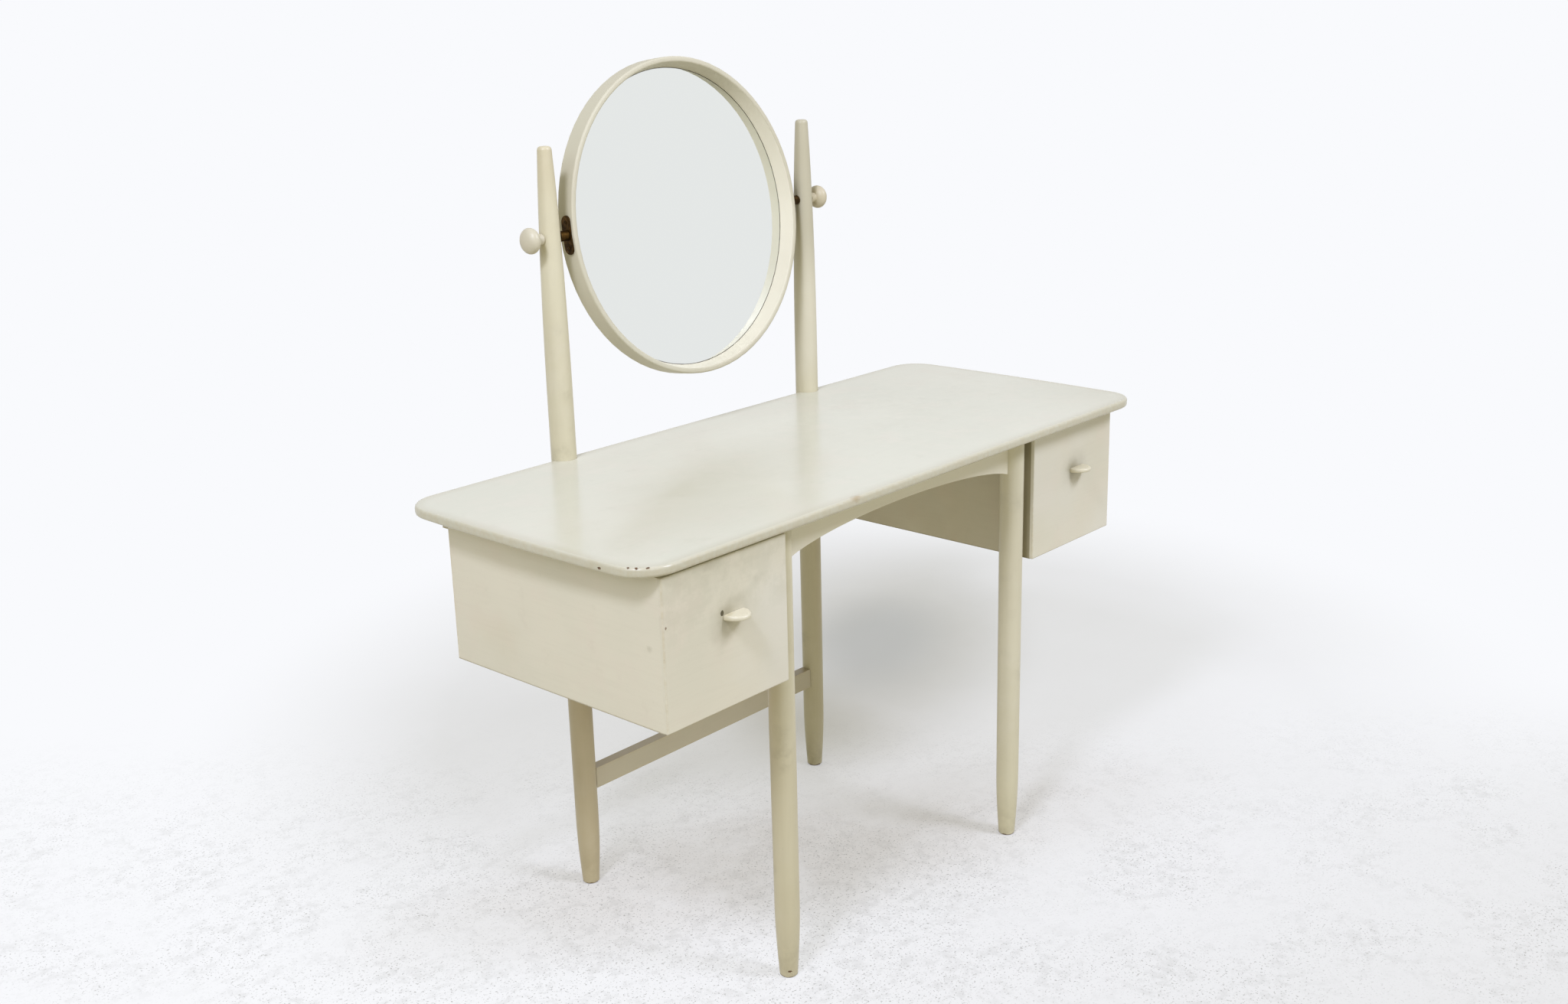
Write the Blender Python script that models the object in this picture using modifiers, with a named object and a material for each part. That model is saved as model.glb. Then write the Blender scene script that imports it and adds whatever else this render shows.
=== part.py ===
"""Dressing table with a tilting round mirror and two hanging drawers.

Metres, +Z up, the front faces -Y. Inside the table's own empty y = 0 is the line of the front legs' axes
and z = 0 is the floor. That empty then centres the whole object over the origin. The left drawer stands a
little open and the mirror leans back, as photographed.
"""
import math

import bmesh
import bpy

# Clearances
FIT_GAP = 0.0003              # between pieces that touch
RUN_GAP = 0.0010              # beside pieces that slide past each other
STOP_GAP = 0.0005             # between a closed drawer front and its runners

# Table top
TOP_HEIGHT = 0.720
TOP_THICKNESS = 0.014
TOP_EDGE_RADIUS = 0.0042
TOP_CORNER_RADIUS = 0.055
TOP_END_BOW = 0.004           # how far each end swells out at its middle
TOP_END_OVERHANG = 0.0427     # beyond the drawers
TOP_FRONT_OVERHANG = 0.0536   # ahead of the front legs' axes
TOP_REAR_OVERHANG = 0.0033    # behind the posts' axes

# Legs and posts
LEG_HALF_SPACING = 0.2825     # from the middle to a leg's axis
LEG_DEPTH_SPACING = 0.434     # from the front legs' axes to the posts' axes
LEG_RADIUS = 0.0195
LEG_LOWER_RADIUS = 0.0185     # just above the toe
TOE_HEIGHT = 0.115
FOOT_RADIUS = 0.0135
FOOT_CHAMFER = 0.0020
POST_TAPER_RISE = 0.020       # the posts taper from here above the top
POST_TAPER_POWER = 2.5
POST_TIP_RADIUS = 0.0107
POST_TIP_ROUND = 0.0055
POST_ABOVE_PIVOT = 0.1325

# Aprons, rails and stretcher
RAIL_THICKNESS = 0.018
APRON_FACE_LEAD = 0.005       # front apron's face ahead of the legs' axes
APRON_MIDDLE_DEPTH = 0.0365
ARCH_RISE = 0.0411            # the arch is half an ellipse of this rise
ARCH_HALF_SPAN = 0.287
SIDE_RAIL_DEPTH = 0.045
REAR_APRON_DEPTH = 0.059
REAR_APRON_INSET = 0.002      # from the top's rear edge
STRETCHER_HEIGHT = 0.035
STRETCHER_FLOOR_GAP = 0.163
TENON_LENGTH = 0.013
TENON_THICKNESS = 0.008
TENON_SHOULDER = 0.008

# Drawers
DRAWER_WIDTH = 0.2324
DRAWER_HEIGHT = 0.2112
DRAWER_DEPTH = 0.4246         # from the front's face to the sides' rear ends
DRAWER_LEG_GAP = 0.0119       # between a front leg and the drawer beside it
DRAWER_FRONT_LEAD = 0.0216    # closed front's face ahead of the legs' axes
DRAWER_HANG_GAP = 0.0045      # between the top's underside and the drawers
LEFT_DRAWER_OPEN = 0.0223
FRONT_THICKNESS = 0.018
FRONT_EDGE_ROUND = 0.0018
FRONT_LAP = 0.006             # front's thickness that covers the sides' ends
SIDE_THICKNESS = 0.011
BACK_THICKNESS = 0.011
BACK_INSET = 0.004            # from the sides' rear ends
BOTTOM_THICKNESS = 0.005
BOTTOM_LIFT = 0.008           # bottom board above the sides' lower edges
GROOVE_DEPTH = 0.005
CLEAT_WIDTH = 0.010
CLEAT_HEIGHT = 0.012
HANGER_WIDTH = 0.018
BEARER_THICKNESS = 0.012
RUNNER_TAIL = 0.0065          # runners' length behind a closed drawer

# Pulls
PULL_WIDTH = 0.040
PULL_REACH = 0.025
PULL_THICKNESS = 0.008
PULL_EDGE_ROUND = 0.0028
PULL_TAPER = 0.45             # share of its lower half that the pull loses at its tip
PULL_RISE = 0.1272            # pull's middle above the drawer's lower edge
PULL_OFFSET = 0.012           # to the right of the drawer's middle
PULL_TENON_RADIUS = 0.004
PULL_TENON_LENGTH = 0.012

# Mirror
PIVOT_RISE = 0.3340           # pivot axis above the top
MIRROR_LEAN = math.radians(7.2)
HOOP_FRONT = 0.0138           # hoop's front rim ahead of the pivot axis
HOOP_REAR = 0.0185            # hoop's rear rim behind the pivot axis
HOOP_RIM = 0.009              # wall at the front rim
HOOP_LIP = 0.0142             # wall where it holds the glass
HOOP_REBATE_WALL = 0.0082     # wall behind the lip, round the glass
HOOP_RIM_ROUND = 0.003
HOOP_REAR_ROUND = 0.0015
GLASS_SETBACK = 0.011         # glass behind the pivot axis
GLASS_THICKNESS = 0.003
BACKING_THICKNESS = 0.0036

# Mirror pivots
PLATE_LENGTH = 0.058
PLATE_WIDTH = 0.018
PLATE_THICKNESS = 0.0025
BOSS_LENGTH = 0.0156
BOSS_RADIUS = 0.0078
SHANK_RADIUS = 0.004
SHANK_IN_KNOB = 0.020
PIVOT_BORE_GAP = 0.0004
POST_FACE_GAP = 0.0006        # from a round post's side to a boss or a knob
KNOB_RADIUS = 0.0193
KNOB_HEAD_THICKNESS = 0.0235
KNOB_NECK_RADIUS = 0.0080
KNOB_NECK_LENGTH = 0.0104
KNOB_BORE_SPARE = 0.002       # bore beyond the shank's end

# Facets
TURNED_STEPS = 32
HOOP_STEPS = 72
ARC_STEPS = 8
ARCH_STEPS = 24
TAPER_STEPS = 10

# Derived heights
TOP_UNDERSIDE = TOP_HEIGHT - TOP_THICKNESS
CARRIED_TOP = TOP_UNDERSIDE - FIT_GAP
PIVOT_HEIGHT = TOP_HEIGHT + PIVOT_RISE
POST_HEIGHT = PIVOT_HEIGHT + POST_ABOVE_PIVOT
TAPER_HEIGHT = TOP_HEIGHT + POST_TAPER_RISE
DRAWER_TOP = TOP_UNDERSIDE - DRAWER_HANG_GAP
DRAWER_LOW = DRAWER_TOP - DRAWER_HEIGHT
CLEAT_LOW = DRAWER_TOP - CLEAT_HEIGHT
BEARER_TOP = CLEAT_LOW - FIT_GAP
BEARER_LOW = BEARER_TOP - BEARER_THICKNESS
BOTTOM_LOW = DRAWER_LOW + BOTTOM_LIFT
BOTTOM_TOP = BOTTOM_LOW + BOTTOM_THICKNESS

# Derived widths and depths
DRAWER_INNER_X = LEG_HALF_SPACING + LEG_RADIUS + DRAWER_LEG_GAP
DRAWER_OUTER_X = DRAWER_INNER_X + DRAWER_WIDTH
DRAWER_MIDDLE_X = 0.5 * (DRAWER_INNER_X + DRAWER_OUTER_X)
DRAWER_FACE_Y = -DRAWER_FRONT_LEAD
DRAWER_FRONT_BACK_Y = DRAWER_FACE_Y + FRONT_THICKNESS
DRAWER_REAR_Y = DRAWER_FACE_Y + DRAWER_DEPTH
TOP_HALF_WIDTH = DRAWER_OUTER_X + TOP_END_OVERHANG
TOP_REAR_Y = LEG_DEPTH_SPACING + TOP_REAR_OVERHANG


def post_radius(height):
    """Radius of a leg or post at a height above its toe."""
    if height <= TAPER_HEIGHT:
        share = max(0.0, (height - TOE_HEIGHT) / (CARRIED_TOP - TOE_HEIGHT))
        return LEG_LOWER_RADIUS + (LEG_RADIUS - LEG_LOWER_RADIUS) * min(1.0, share)
    share = (height - TAPER_HEIGHT) / (POST_HEIGHT - TAPER_HEIGHT)
    return LEG_RADIUS - (LEG_RADIUS - POST_TIP_RADIUS) * share ** POST_TAPER_POWER


# The boss fills the space between post and plate, so the hoop's size follows the posts
BOSS_END_X = LEG_HALF_SPACING - post_radius(PIVOT_HEIGHT) - POST_FACE_GAP
BOSS_BASE_X = BOSS_END_X - BOSS_LENGTH
PLATE_OUTER_RADIUS = BOSS_BASE_X - FIT_GAP
PLATE_INNER_RADIUS = PLATE_OUTER_RADIUS - PLATE_THICKNESS
HOOP_RADIUS = PLATE_INNER_RADIUS - FIT_GAP
KNOB_FACE_X = LEG_HALF_SPACING + post_radius(PIVOT_HEIGHT) + POST_FACE_GAP

# Depth of the whole object, from the open drawer's pull to the leaning hoop
FOREMOST_Y = DRAWER_FACE_Y - LEFT_DRAWER_OPEN - FIT_GAP - PULL_REACH
LEANING_REACH = (HOOP_RADIUS - HOOP_REAR_ROUND) * math.sin(MIRROR_LEAN) + HOOP_REAR * math.cos(MIRROR_LEAN)
REARMOST_Y = LEG_DEPTH_SPACING + LEANING_REACH
CENTRE_Y = 0.5 * (FOREMOST_Y + REARMOST_Y)


def clear_scene():
    for obj in list(bpy.data.objects):
        bpy.data.objects.remove(obj, do_unlink=True)


def new_collection(name):
    collection = bpy.data.collections.new(name)
    bpy.context.scene.collection.children.link(collection)
    return collection


clear_scene()
PARTS = new_collection("dressing_table")
CUTTERS = new_collection("cutters")


def new_material(name, colour, roughness, metallic=0.0):
    material = bpy.data.materials.new(name)
    material.use_nodes = True
    shader = material.node_tree.nodes["Principled BSDF"]
    shader.inputs["Base Color"].default_value = (*colour, 1.0)
    shader.inputs["Roughness"].default_value = roughness
    shader.inputs["Metallic"].default_value = metallic
    return material


PAINT = ("cream_paint", (0.68, 0.64, 0.52), 0.42, 0.0)
BARE_WOOD = ("bare_wood", (0.56, 0.40, 0.23), 0.65, 0.0)
BRASS = ("dark_brass", (0.20, 0.13, 0.05), 0.40, 0.9)
SILVERED = ("silvered_glass", (0.86, 0.88, 0.87), 0.03, 1.0)
HARDBOARD = ("hardboard", (0.30, 0.20, 0.12), 0.75, 0.0)


def new_empty(name, location, parent=None, lean=0.0):
    empty = bpy.data.objects.new(name, None)
    empty.location = location
    empty.rotation_euler = (lean, 0.0, 0.0)
    empty.parent = parent
    PARTS.objects.link(empty)
    return empty


def place(obj, parent, location=(0.0, 0.0, 0.0), rotation=(0.0, 0.0, 0.0)):
    obj.parent = parent
    obj.location = location
    obj.rotation_euler = rotation
    return obj


def add_part(name, mesh, finish, smooth=False):
    """A sub-part's object, with a material of its own."""
    obj = bpy.data.objects.new(name, mesh)
    PARTS.objects.link(obj)
    label, colour, roughness, metallic = finish
    mesh.materials.append(new_material(f"{name}_{label}", colour, roughness, metallic))
    if smooth:
        mesh.shade_smooth()
    return obj


def add_cutter(name, mesh, parent, location, rotation=(0.0, 0.0, 0.0)):
    obj = bpy.data.objects.new(name, mesh)
    CUTTERS.objects.link(obj)
    obj.hide_render = True
    obj.display_type = "WIRE"
    return place(obj, parent, location, rotation)


def combine(obj, tool, operation="DIFFERENCE"):
    modifier = obj.modifiers.new(f"{operation.lower()}_{tool.name}", "BOOLEAN")
    modifier.operation = operation
    modifier.object = tool


def box_mesh(name, size):
    mesh = bpy.data.meshes.new(name)
    shape = bmesh.new()
    bmesh.ops.create_cube(shape, size=1.0)
    bmesh.ops.scale(shape, vec=size, verts=shape.verts)
    shape.to_mesh(mesh)
    shape.free()
    return mesh


def rod_mesh(name, radius, length, steps=TURNED_STEPS):
    """A cylinder along Z, centred."""
    mesh = bpy.data.meshes.new(name)
    shape = bmesh.new()
    bmesh.ops.create_cone(shape, cap_ends=True, segments=steps, radius1=radius, radius2=radius, depth=length)
    shape.to_mesh(mesh)
    shape.free()
    return mesh


def span(low, high):
    """Sizes and centre of a box between two corners."""
    size = [b - a for a, b in zip(low, high)]
    centre = [0.5 * (a + b) for a, b in zip(low, high)]
    return size, centre


def add_board(name, low, high, finish, parent, edge_round=0.0):
    size, centre = span(low, high)
    board = add_part(name, box_mesh(name, size), finish)
    if edge_round:
        bevel = board.modifiers.new("edge_round", "BEVEL")
        bevel.width = edge_round
        bevel.segments = 2
    return place(board, parent, centre)


def add_box_cutter(name, low, high, parent):
    size, centre = span(low, high)
    return add_cutter(name, box_mesh(name, size), parent, centre)


def turned_mesh(name, profile, closed=False):
    """A profile of (radius, height) points, from the top down its outer side."""
    mesh = bpy.data.meshes.new(name)
    shape = bmesh.new()
    verts = [shape.verts.new((radius, 0.0, height)) for radius, height in profile]
    for first, second in zip(verts, verts[1:]):
        shape.edges.new((first, second))
    if closed:
        shape.edges.new((verts[-1], verts[0]))
    shape.to_mesh(mesh)
    shape.free()
    return mesh


def turn(obj, steps=TURNED_STEPS):
    screw = obj.modifiers.new("turn", "SCREW")
    screw.axis = "Z"
    screw.steps = steps
    screw.render_steps = steps
    screw.use_merge_vertices = True
    screw.merge_threshold = 0.00001
    screw.use_smooth_shade = True
    return obj


def arc(centre, radius, start, end, steps=ARC_STEPS):
    """Points along an arc, angles in degrees."""
    points = []
    for index in range(steps + 1):
        angle = math.radians(start + (end - start) * index / steps)
        points.append((centre[0] + radius * math.cos(angle), centre[1] + radius * math.sin(angle)))
    return points


def outline_mesh(name, points, thickness, edge_round=0.0):
    """A flat outline, given thickness along Z and round edges, as a welded mesh."""
    curve = bpy.data.curves.new(f"{name}_outline", "CURVE")
    curve.dimensions = "2D"
    curve.fill_mode = "BOTH"
    curve.extrude = 0.5 * thickness - edge_round
    curve.bevel_depth = edge_round
    curve.bevel_resolution = 2
    curve.offset = -edge_round
    spline = curve.splines.new("POLY")
    spline.points.add(len(points) - 1)
    for point, (x, y) in zip(spline.points, points):
        point.co = (x, y, 0.0, 1.0)
    spline.use_cyclic_u = True
    guide = bpy.data.objects.new(f"{name}_outline", curve)
    bpy.context.scene.collection.objects.link(guide)
    bpy.context.view_layer.update()
    evaluated = guide.evaluated_get(bpy.context.evaluated_depsgraph_get())
    mesh = bpy.data.meshes.new_from_object(evaluated)
    mesh.name = name
    bpy.data.objects.remove(guide, do_unlink=True)
    shape = bmesh.new()
    shape.from_mesh(mesh)
    bmesh.ops.remove_doubles(shape, verts=shape.verts, dist=0.00001)
    shape.to_mesh(mesh)
    shape.free()
    return mesh


# Empties that carry the fixed frame and each moving group
TABLE = new_empty("table", (0.0, -CENTRE_Y, 0.0))
LEFT_DRAWER = new_empty("left_drawer", (-DRAWER_MIDDLE_X, -LEFT_DRAWER_OPEN, 0.0), TABLE)
RIGHT_DRAWER = new_empty("right_drawer", (DRAWER_MIDDLE_X, 0.0, 0.0), TABLE)
MIRROR = new_empty("mirror", (0.0, LEG_DEPTH_SPACING, PIVOT_HEIGHT), TABLE, -MIRROR_LEAN)

LEG_PLACES = {
    "front_left_leg": (-LEG_HALF_SPACING, 0.0),
    "front_right_leg": (LEG_HALF_SPACING, 0.0),
    "rear_left_post": (-LEG_HALF_SPACING, LEG_DEPTH_SPACING),
    "rear_right_post": (LEG_HALF_SPACING, LEG_DEPTH_SPACING),
}


def leg_profile(rear):
    """From the tip down to the foot."""
    if rear:
        points = [(0.0, POST_HEIGHT), (POST_TIP_RADIUS - POST_TIP_ROUND, POST_HEIGHT)]
        rim = (POST_TIP_RADIUS - POST_TIP_ROUND, POST_HEIGHT - POST_TIP_ROUND)
        points += arc(rim, POST_TIP_ROUND, 90.0, 0.0, ARC_STEPS // 2)[1:]
        taper_top = POST_HEIGHT - POST_TIP_ROUND
        for index in range(1, TAPER_STEPS):
            height = taper_top + (TAPER_HEIGHT - taper_top) * index / TAPER_STEPS
            points.append((post_radius(height), height))
        points.append((LEG_RADIUS, TAPER_HEIGHT))
    else:
        points = [(0.0, CARRIED_TOP)]
    points.append((LEG_RADIUS, CARRIED_TOP))
    for index in range(ARC_STEPS + 1):
        share = 1.0 - index / ARC_STEPS
        swell = math.sin(0.5 * math.pi * share)
        radius = FOOT_RADIUS + (LEG_LOWER_RADIUS - FOOT_RADIUS) * swell
        points.append((radius, FOOT_CHAMFER + (TOE_HEIGHT - FOOT_CHAMFER) * share))
    points += [(FOOT_RADIUS - FOOT_CHAMFER, 0.0), (0.0, 0.0)]
    return points


def add_leg(name, x, y):
    leg = add_part(name, turned_mesh(name, leg_profile(y > 0.0)), PAINT)
    return place(turn(leg), TABLE, (x, y, 0.0))


LEGS = {name: add_leg(name, x, y) for name, (x, y) in LEG_PLACES.items()}

# Round tool for every shoulder and notch that meets a leg
LEG_ROUNDS = {
    name: add_cutter(f"{name}_round", rod_mesh(f"{name}_round", LEG_RADIUS + FIT_GAP, 2.0 * POST_HEIGHT),
                     TABLE, (x, y, 0.0))
    for name, (x, y) in LEG_PLACES.items()
}


def join_to_leg(rail, leg_name, low, high):
    """Fits a rail's end round a leg, with a stub tenon between two corners in a mortise of the leg."""
    combine(rail, LEG_ROUNDS[leg_name])
    tenon = add_box_cutter(f"{rail.name}_tenon_{leg_name}", low, high, TABLE)
    combine(rail, tenon, "UNION")
    room_low = [value - FIT_GAP for value in low]
    room_high = [value + FIT_GAP for value in high]
    mortise = add_box_cutter(f"{rail.name}_mortise_{leg_name}", room_low, room_high, TABLE)
    combine(LEGS[leg_name], mortise)


def cross_tenon(side, middle_y, low_z, high_z):
    """Corners of a tenon that runs along X into the leg on one side."""
    inner = LEG_HALF_SPACING - LEG_RADIUS - TENON_LENGTH
    outer = LEG_HALF_SPACING - LEG_RADIUS + TENON_LENGTH
    first, last = sorted((side * inner, side * outer))
    half = 0.5 * TENON_THICKNESS
    low = (first, middle_y - half, low_z + TENON_SHOULDER)
    high = (last, middle_y + half, high_z - TENON_SHOULDER)
    return low, high


def join_cross_rail(rail, row, middle_y, low_z, high_z):
    for side, word in ((-1, "left"), (1, "right")):
        leg_name = f"{row[0]}_{word}_{row[1]}"
        low, high = cross_tenon(side, middle_y, low_z, high_z)
        join_to_leg(rail, leg_name, low, high)


def add_front_apron():
    """An arched board: its lower edge is part of an ellipse."""
    crown = TOP_UNDERSIDE - APRON_MIDDLE_DEPTH
    points = [(-LEG_HALF_SPACING, CARRIED_TOP), (-LEG_HALF_SPACING, crown - ARCH_RISE)]
    reach = LEG_HALF_SPACING - 0.5 * LEG_RADIUS
    for index in range(ARCH_STEPS + 1):
        x = reach * (2.0 * index / ARCH_STEPS - 1.0)
        drop = ARCH_RISE * (1.0 - math.sqrt(max(0.0, 1.0 - (x / ARCH_HALF_SPAN) ** 2)))
        points.append((x, crown - drop))
    points += [(LEG_HALF_SPACING, crown - ARCH_RISE), (LEG_HALF_SPACING, CARRIED_TOP)]
    apron = add_part("front_apron", outline_mesh("front_apron", points, RAIL_THICKNESS), PAINT)
    middle_y = 0.5 * RAIL_THICKNESS - APRON_FACE_LEAD
    place(apron, TABLE, (0.0, middle_y, 0.0), (0.5 * math.pi, 0.0, 0.0))
    root = LEG_HALF_SPACING - LEG_RADIUS - TENON_LENGTH
    root_drop = ARCH_RISE * (1.0 - math.sqrt(max(0.0, 1.0 - (root / ARCH_HALF_SPAN) ** 2)))
    join_cross_rail(apron, ("front", "leg"), middle_y, crown - root_drop, CARRIED_TOP)


def add_cross_board(name, rear_face_y, low_z, high_z):
    """A straight board between the posts."""
    low = (-LEG_HALF_SPACING, rear_face_y - RAIL_THICKNESS, low_z)
    high = (LEG_HALF_SPACING, rear_face_y, high_z)
    board = add_board(name, low, high, PAINT, TABLE)
    join_cross_rail(board, ("rear", "post"), rear_face_y - 0.5 * RAIL_THICKNESS, low_z, high_z)


def add_side_rail(side, word):
    x = side * LEG_HALF_SPACING
    low_z = CARRIED_TOP - SIDE_RAIL_DEPTH
    half = 0.5 * RAIL_THICKNESS
    low = (x - half, 0.0, low_z)
    high = (x + half, LEG_DEPTH_SPACING, CARRIED_TOP)
    rail = add_board(f"{word}_side_rail", low, high, PAINT, TABLE)
    tenon_half = 0.5 * TENON_THICKNESS
    ends = ((f"front_{word}_leg", LEG_RADIUS), (f"rear_{word}_post", LEG_DEPTH_SPACING - LEG_RADIUS))
    for leg_name, shoulder_y in ends:
        tenon_low = (x - tenon_half, shoulder_y - TENON_LENGTH, low_z + TENON_SHOULDER)
        tenon_high = (x + tenon_half, shoulder_y + TENON_LENGTH, CARRIED_TOP - TENON_SHOULDER)
        join_to_leg(rail, leg_name, tenon_low, tenon_high)


def top_outline():
    """Round corners, straight front and rear, and ends that swell slightly."""
    radius = TOP_CORNER_RADIUS
    x = TOP_HALF_WIDTH - TOP_END_BOW - radius
    front = radius - TOP_FRONT_OVERHANG
    rear = TOP_REAR_Y - radius
    middle = 0.5 * (front + rear)
    half = 0.5 * (rear - front)
    right_end = []
    for index in range(1, ARC_STEPS):
        y = front + (rear - front) * index / ARC_STEPS
        swell = TOP_END_BOW * (1.0 - ((y - middle) / half) ** 2)
        right_end.append((TOP_HALF_WIDTH - TOP_END_BOW + swell, y))
    left_end = [(-end_x, y) for end_x, y in reversed(right_end)]
    points = arc((x, front), radius, -90.0, 0.0) + right_end + arc((x, rear), radius, 0.0, 90.0)
    points += arc((-x, rear), radius, 90.0, 180.0) + left_end + arc((-x, front), radius, 180.0, 270.0)
    return points


def add_top():
    edge = min(TOP_EDGE_RADIUS, 0.48 * TOP_THICKNESS)
    top = add_part("table_top", outline_mesh("table_top", top_outline(), TOP_THICKNESS, edge), PAINT)
    place(top, TABLE, (0.0, 0.0, TOP_HEIGHT - 0.5 * TOP_THICKNESS))
    for name in ("rear_left_post", "rear_right_post"):
        combine(top, LEG_ROUNDS[name])


def add_runner(word, place_word, wall_x, inward):
    """A hanger strip under the top, and the wider bearer strip under it that a drawer's cleat slides on."""
    hanger_from = wall_x + inward * (FIT_GAP + CLEAT_WIDTH + RUN_GAP)
    hanger_to = hanger_from + inward * HANGER_WIDTH
    bearer_from = wall_x + inward * RUN_GAP
    front_y = DRAWER_FRONT_BACK_Y + STOP_GAP
    rear_y = DRAWER_REAR_Y + RUNNER_TAIL
    strips = (
        ("hanger", hanger_from, BEARER_TOP + FIT_GAP, CARRIED_TOP, BARE_WOOD),
        ("bearer", bearer_from, BEARER_LOW, BEARER_TOP, PAINT),
    )
    for strip, start_x, low_z, high_z, finish in strips:
        first, last = sorted((start_x, hanger_to))
        name = f"{word}_drawer_{place_word}_{strip}"
        add_board(name, (first, front_y, low_z), (last, rear_y, high_z), finish, TABLE)


def drawer_walls(side):
    """For each side board: its name, its outer face, and the direction from it into the drawer."""
    half = 0.5 * DRAWER_WIDTH
    return (("outer", side * half, -side), ("inner", -side * half, side))


def add_drawer_front(word, parent):
    half = 0.5 * DRAWER_WIDTH
    low = (-half, DRAWER_FACE_Y, DRAWER_LOW)
    high = (half, DRAWER_FRONT_BACK_Y, DRAWER_TOP)
    front = add_board(f"{word}_drawer_front", low, high, PAINT, parent, FRONT_EDGE_ROUND)
    lap_y = DRAWER_FACE_Y + FRONT_LAP
    past = FRONT_THICKNESS
    inner = half - SIDE_THICKNESS - FIT_GAP
    for end, first, last in (("left", -half - past, -inner), ("right", inner, half + past)):
        tool = add_box_cutter(f"{front.name}_{end}_rebate", (first, lap_y, DRAWER_LOW - past),
                              (last, DRAWER_FRONT_BACK_Y + past, DRAWER_TOP + past), parent)
        combine(front, tool)
    groove_y = DRAWER_FRONT_BACK_Y - GROOVE_DEPTH
    groove = add_box_cutter(f"{front.name}_groove", (-half - past, groove_y, BOTTOM_LOW - FIT_GAP),
                            (half + past, DRAWER_FRONT_BACK_Y + past, BOTTOM_TOP + FIT_GAP), parent)
    combine(front, groove)
    bore = rod_mesh(f"{front.name}_bore", PULL_TENON_RADIUS + FIT_GAP, 2.0 * (PULL_TENON_LENGTH + FIT_GAP))
    tool = add_cutter(bore.name, bore, parent, (PULL_OFFSET, DRAWER_FACE_Y, DRAWER_LOW + PULL_RISE),
                      (0.5 * math.pi, 0.0, 0.0))
    combine(front, tool)


def add_drawer_sides(word, side, parent):
    """Each side has a groove for the bottom board, and an upper cleat that hangs on a bearer."""
    front_y = DRAWER_FACE_Y + FRONT_LAP + FIT_GAP
    for place_word, face_x, inward in drawer_walls(side):
        wall_x = face_x + inward * SIDE_THICKNESS
        first, last = sorted((face_x, wall_x))
        board = add_board(f"{word}_drawer_{place_word}_side", (first, front_y, DRAWER_LOW),
                          (last, DRAWER_REAR_Y, DRAWER_TOP), PAINT, parent)
        first, last = sorted((wall_x - inward * GROOVE_DEPTH, wall_x + inward * GROOVE_DEPTH))
        groove = add_box_cutter(f"{board.name}_groove", (first, front_y - FRONT_LAP, BOTTOM_LOW - FIT_GAP),
                                (last, DRAWER_REAR_Y + FRONT_LAP, BOTTOM_TOP + FIT_GAP), parent)
        combine(board, groove)
        first, last = sorted((wall_x + inward * FIT_GAP, wall_x + inward * (FIT_GAP + CLEAT_WIDTH)))
        add_board(f"{word}_drawer_{place_word}_cleat", (first, DRAWER_FRONT_BACK_Y + FIT_GAP, CLEAT_LOW),
                  (last, DRAWER_REAR_Y, DRAWER_TOP), BARE_WOOD, parent)


def add_drawer_box(word, parent):
    """The bottom board runs in its grooves and under the back, which passes below the bearers."""
    wall_x = 0.5 * DRAWER_WIDTH - SIDE_THICKNESS
    back_rear = DRAWER_REAR_Y - BACK_INSET
    back_x = wall_x - FIT_GAP
    add_board(f"{word}_drawer_back", (-back_x, back_rear - BACK_THICKNESS, BOTTOM_TOP + FIT_GAP),
              (back_x, back_rear, BEARER_LOW - RUN_GAP), BARE_WOOD, parent)
    bottom_x = wall_x + GROOVE_DEPTH - FIT_GAP
    bottom_front = DRAWER_FRONT_BACK_Y - GROOVE_DEPTH + FIT_GAP
    add_board(f"{word}_drawer_bottom", (-bottom_x, bottom_front, BOTTOM_LOW),
              (bottom_x, back_rear, BOTTOM_TOP), BARE_WOOD, parent)


def add_pull(word, parent):
    """A tongue, half an ellipse in plan, thinner at its tip, with a round tenon in the drawer front."""
    name = f"{word}_drawer_pull"
    root = 2.0 * PULL_EDGE_ROUND
    points = [(-0.5 * PULL_WIDTH, root)]
    for x, y in arc((0.0, 0.0), 1.0, 180.0, 360.0, 2 * ARC_STEPS):
        points.append((0.5 * PULL_WIDTH * x, PULL_REACH * y))
    points.append((0.5 * PULL_WIDTH, root))
    edge = min(PULL_EDGE_ROUND, 0.48 * PULL_THICKNESS)
    mesh = outline_mesh(name, points, PULL_THICKNESS, edge)
    for vert in mesh.vertices:
        if vert.co.z < 0.0 and vert.co.y < 0.0:
            vert.co.z *= 1.0 + PULL_TAPER * vert.co.y / PULL_REACH
    pull = add_part(name, mesh, PAINT)
    middle_z = DRAWER_LOW + PULL_RISE
    place(pull, parent, (PULL_OFFSET, DRAWER_FACE_Y - FIT_GAP, middle_z))
    low = (PULL_OFFSET - PULL_WIDTH, DRAWER_FACE_Y - FIT_GAP, middle_z - PULL_WIDTH)
    high = (PULL_OFFSET + PULL_WIDTH, DRAWER_FRONT_BACK_Y, middle_z + PULL_WIDTH)
    combine(pull, add_box_cutter(f"{name}_face", low, high, parent))
    tenon = rod_mesh(f"{name}_tenon", PULL_TENON_RADIUS, 2.0 * PULL_TENON_LENGTH)
    tool = add_cutter(tenon.name, tenon, parent, (PULL_OFFSET, DRAWER_FACE_Y, middle_z),
                      (0.5 * math.pi, 0.0, 0.0))
    combine(pull, tool, "UNION")


def add_drawer(word, side, parent):
    add_drawer_front(word, parent)
    add_drawer_sides(word, side, parent)
    add_drawer_box(word, parent)
    add_pull(word, parent)
    for place_word, face_x, inward in drawer_walls(side):
        add_runner(word, place_word, side * DRAWER_MIDDLE_X + face_x + inward * SIDE_THICKNESS, inward)


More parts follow.
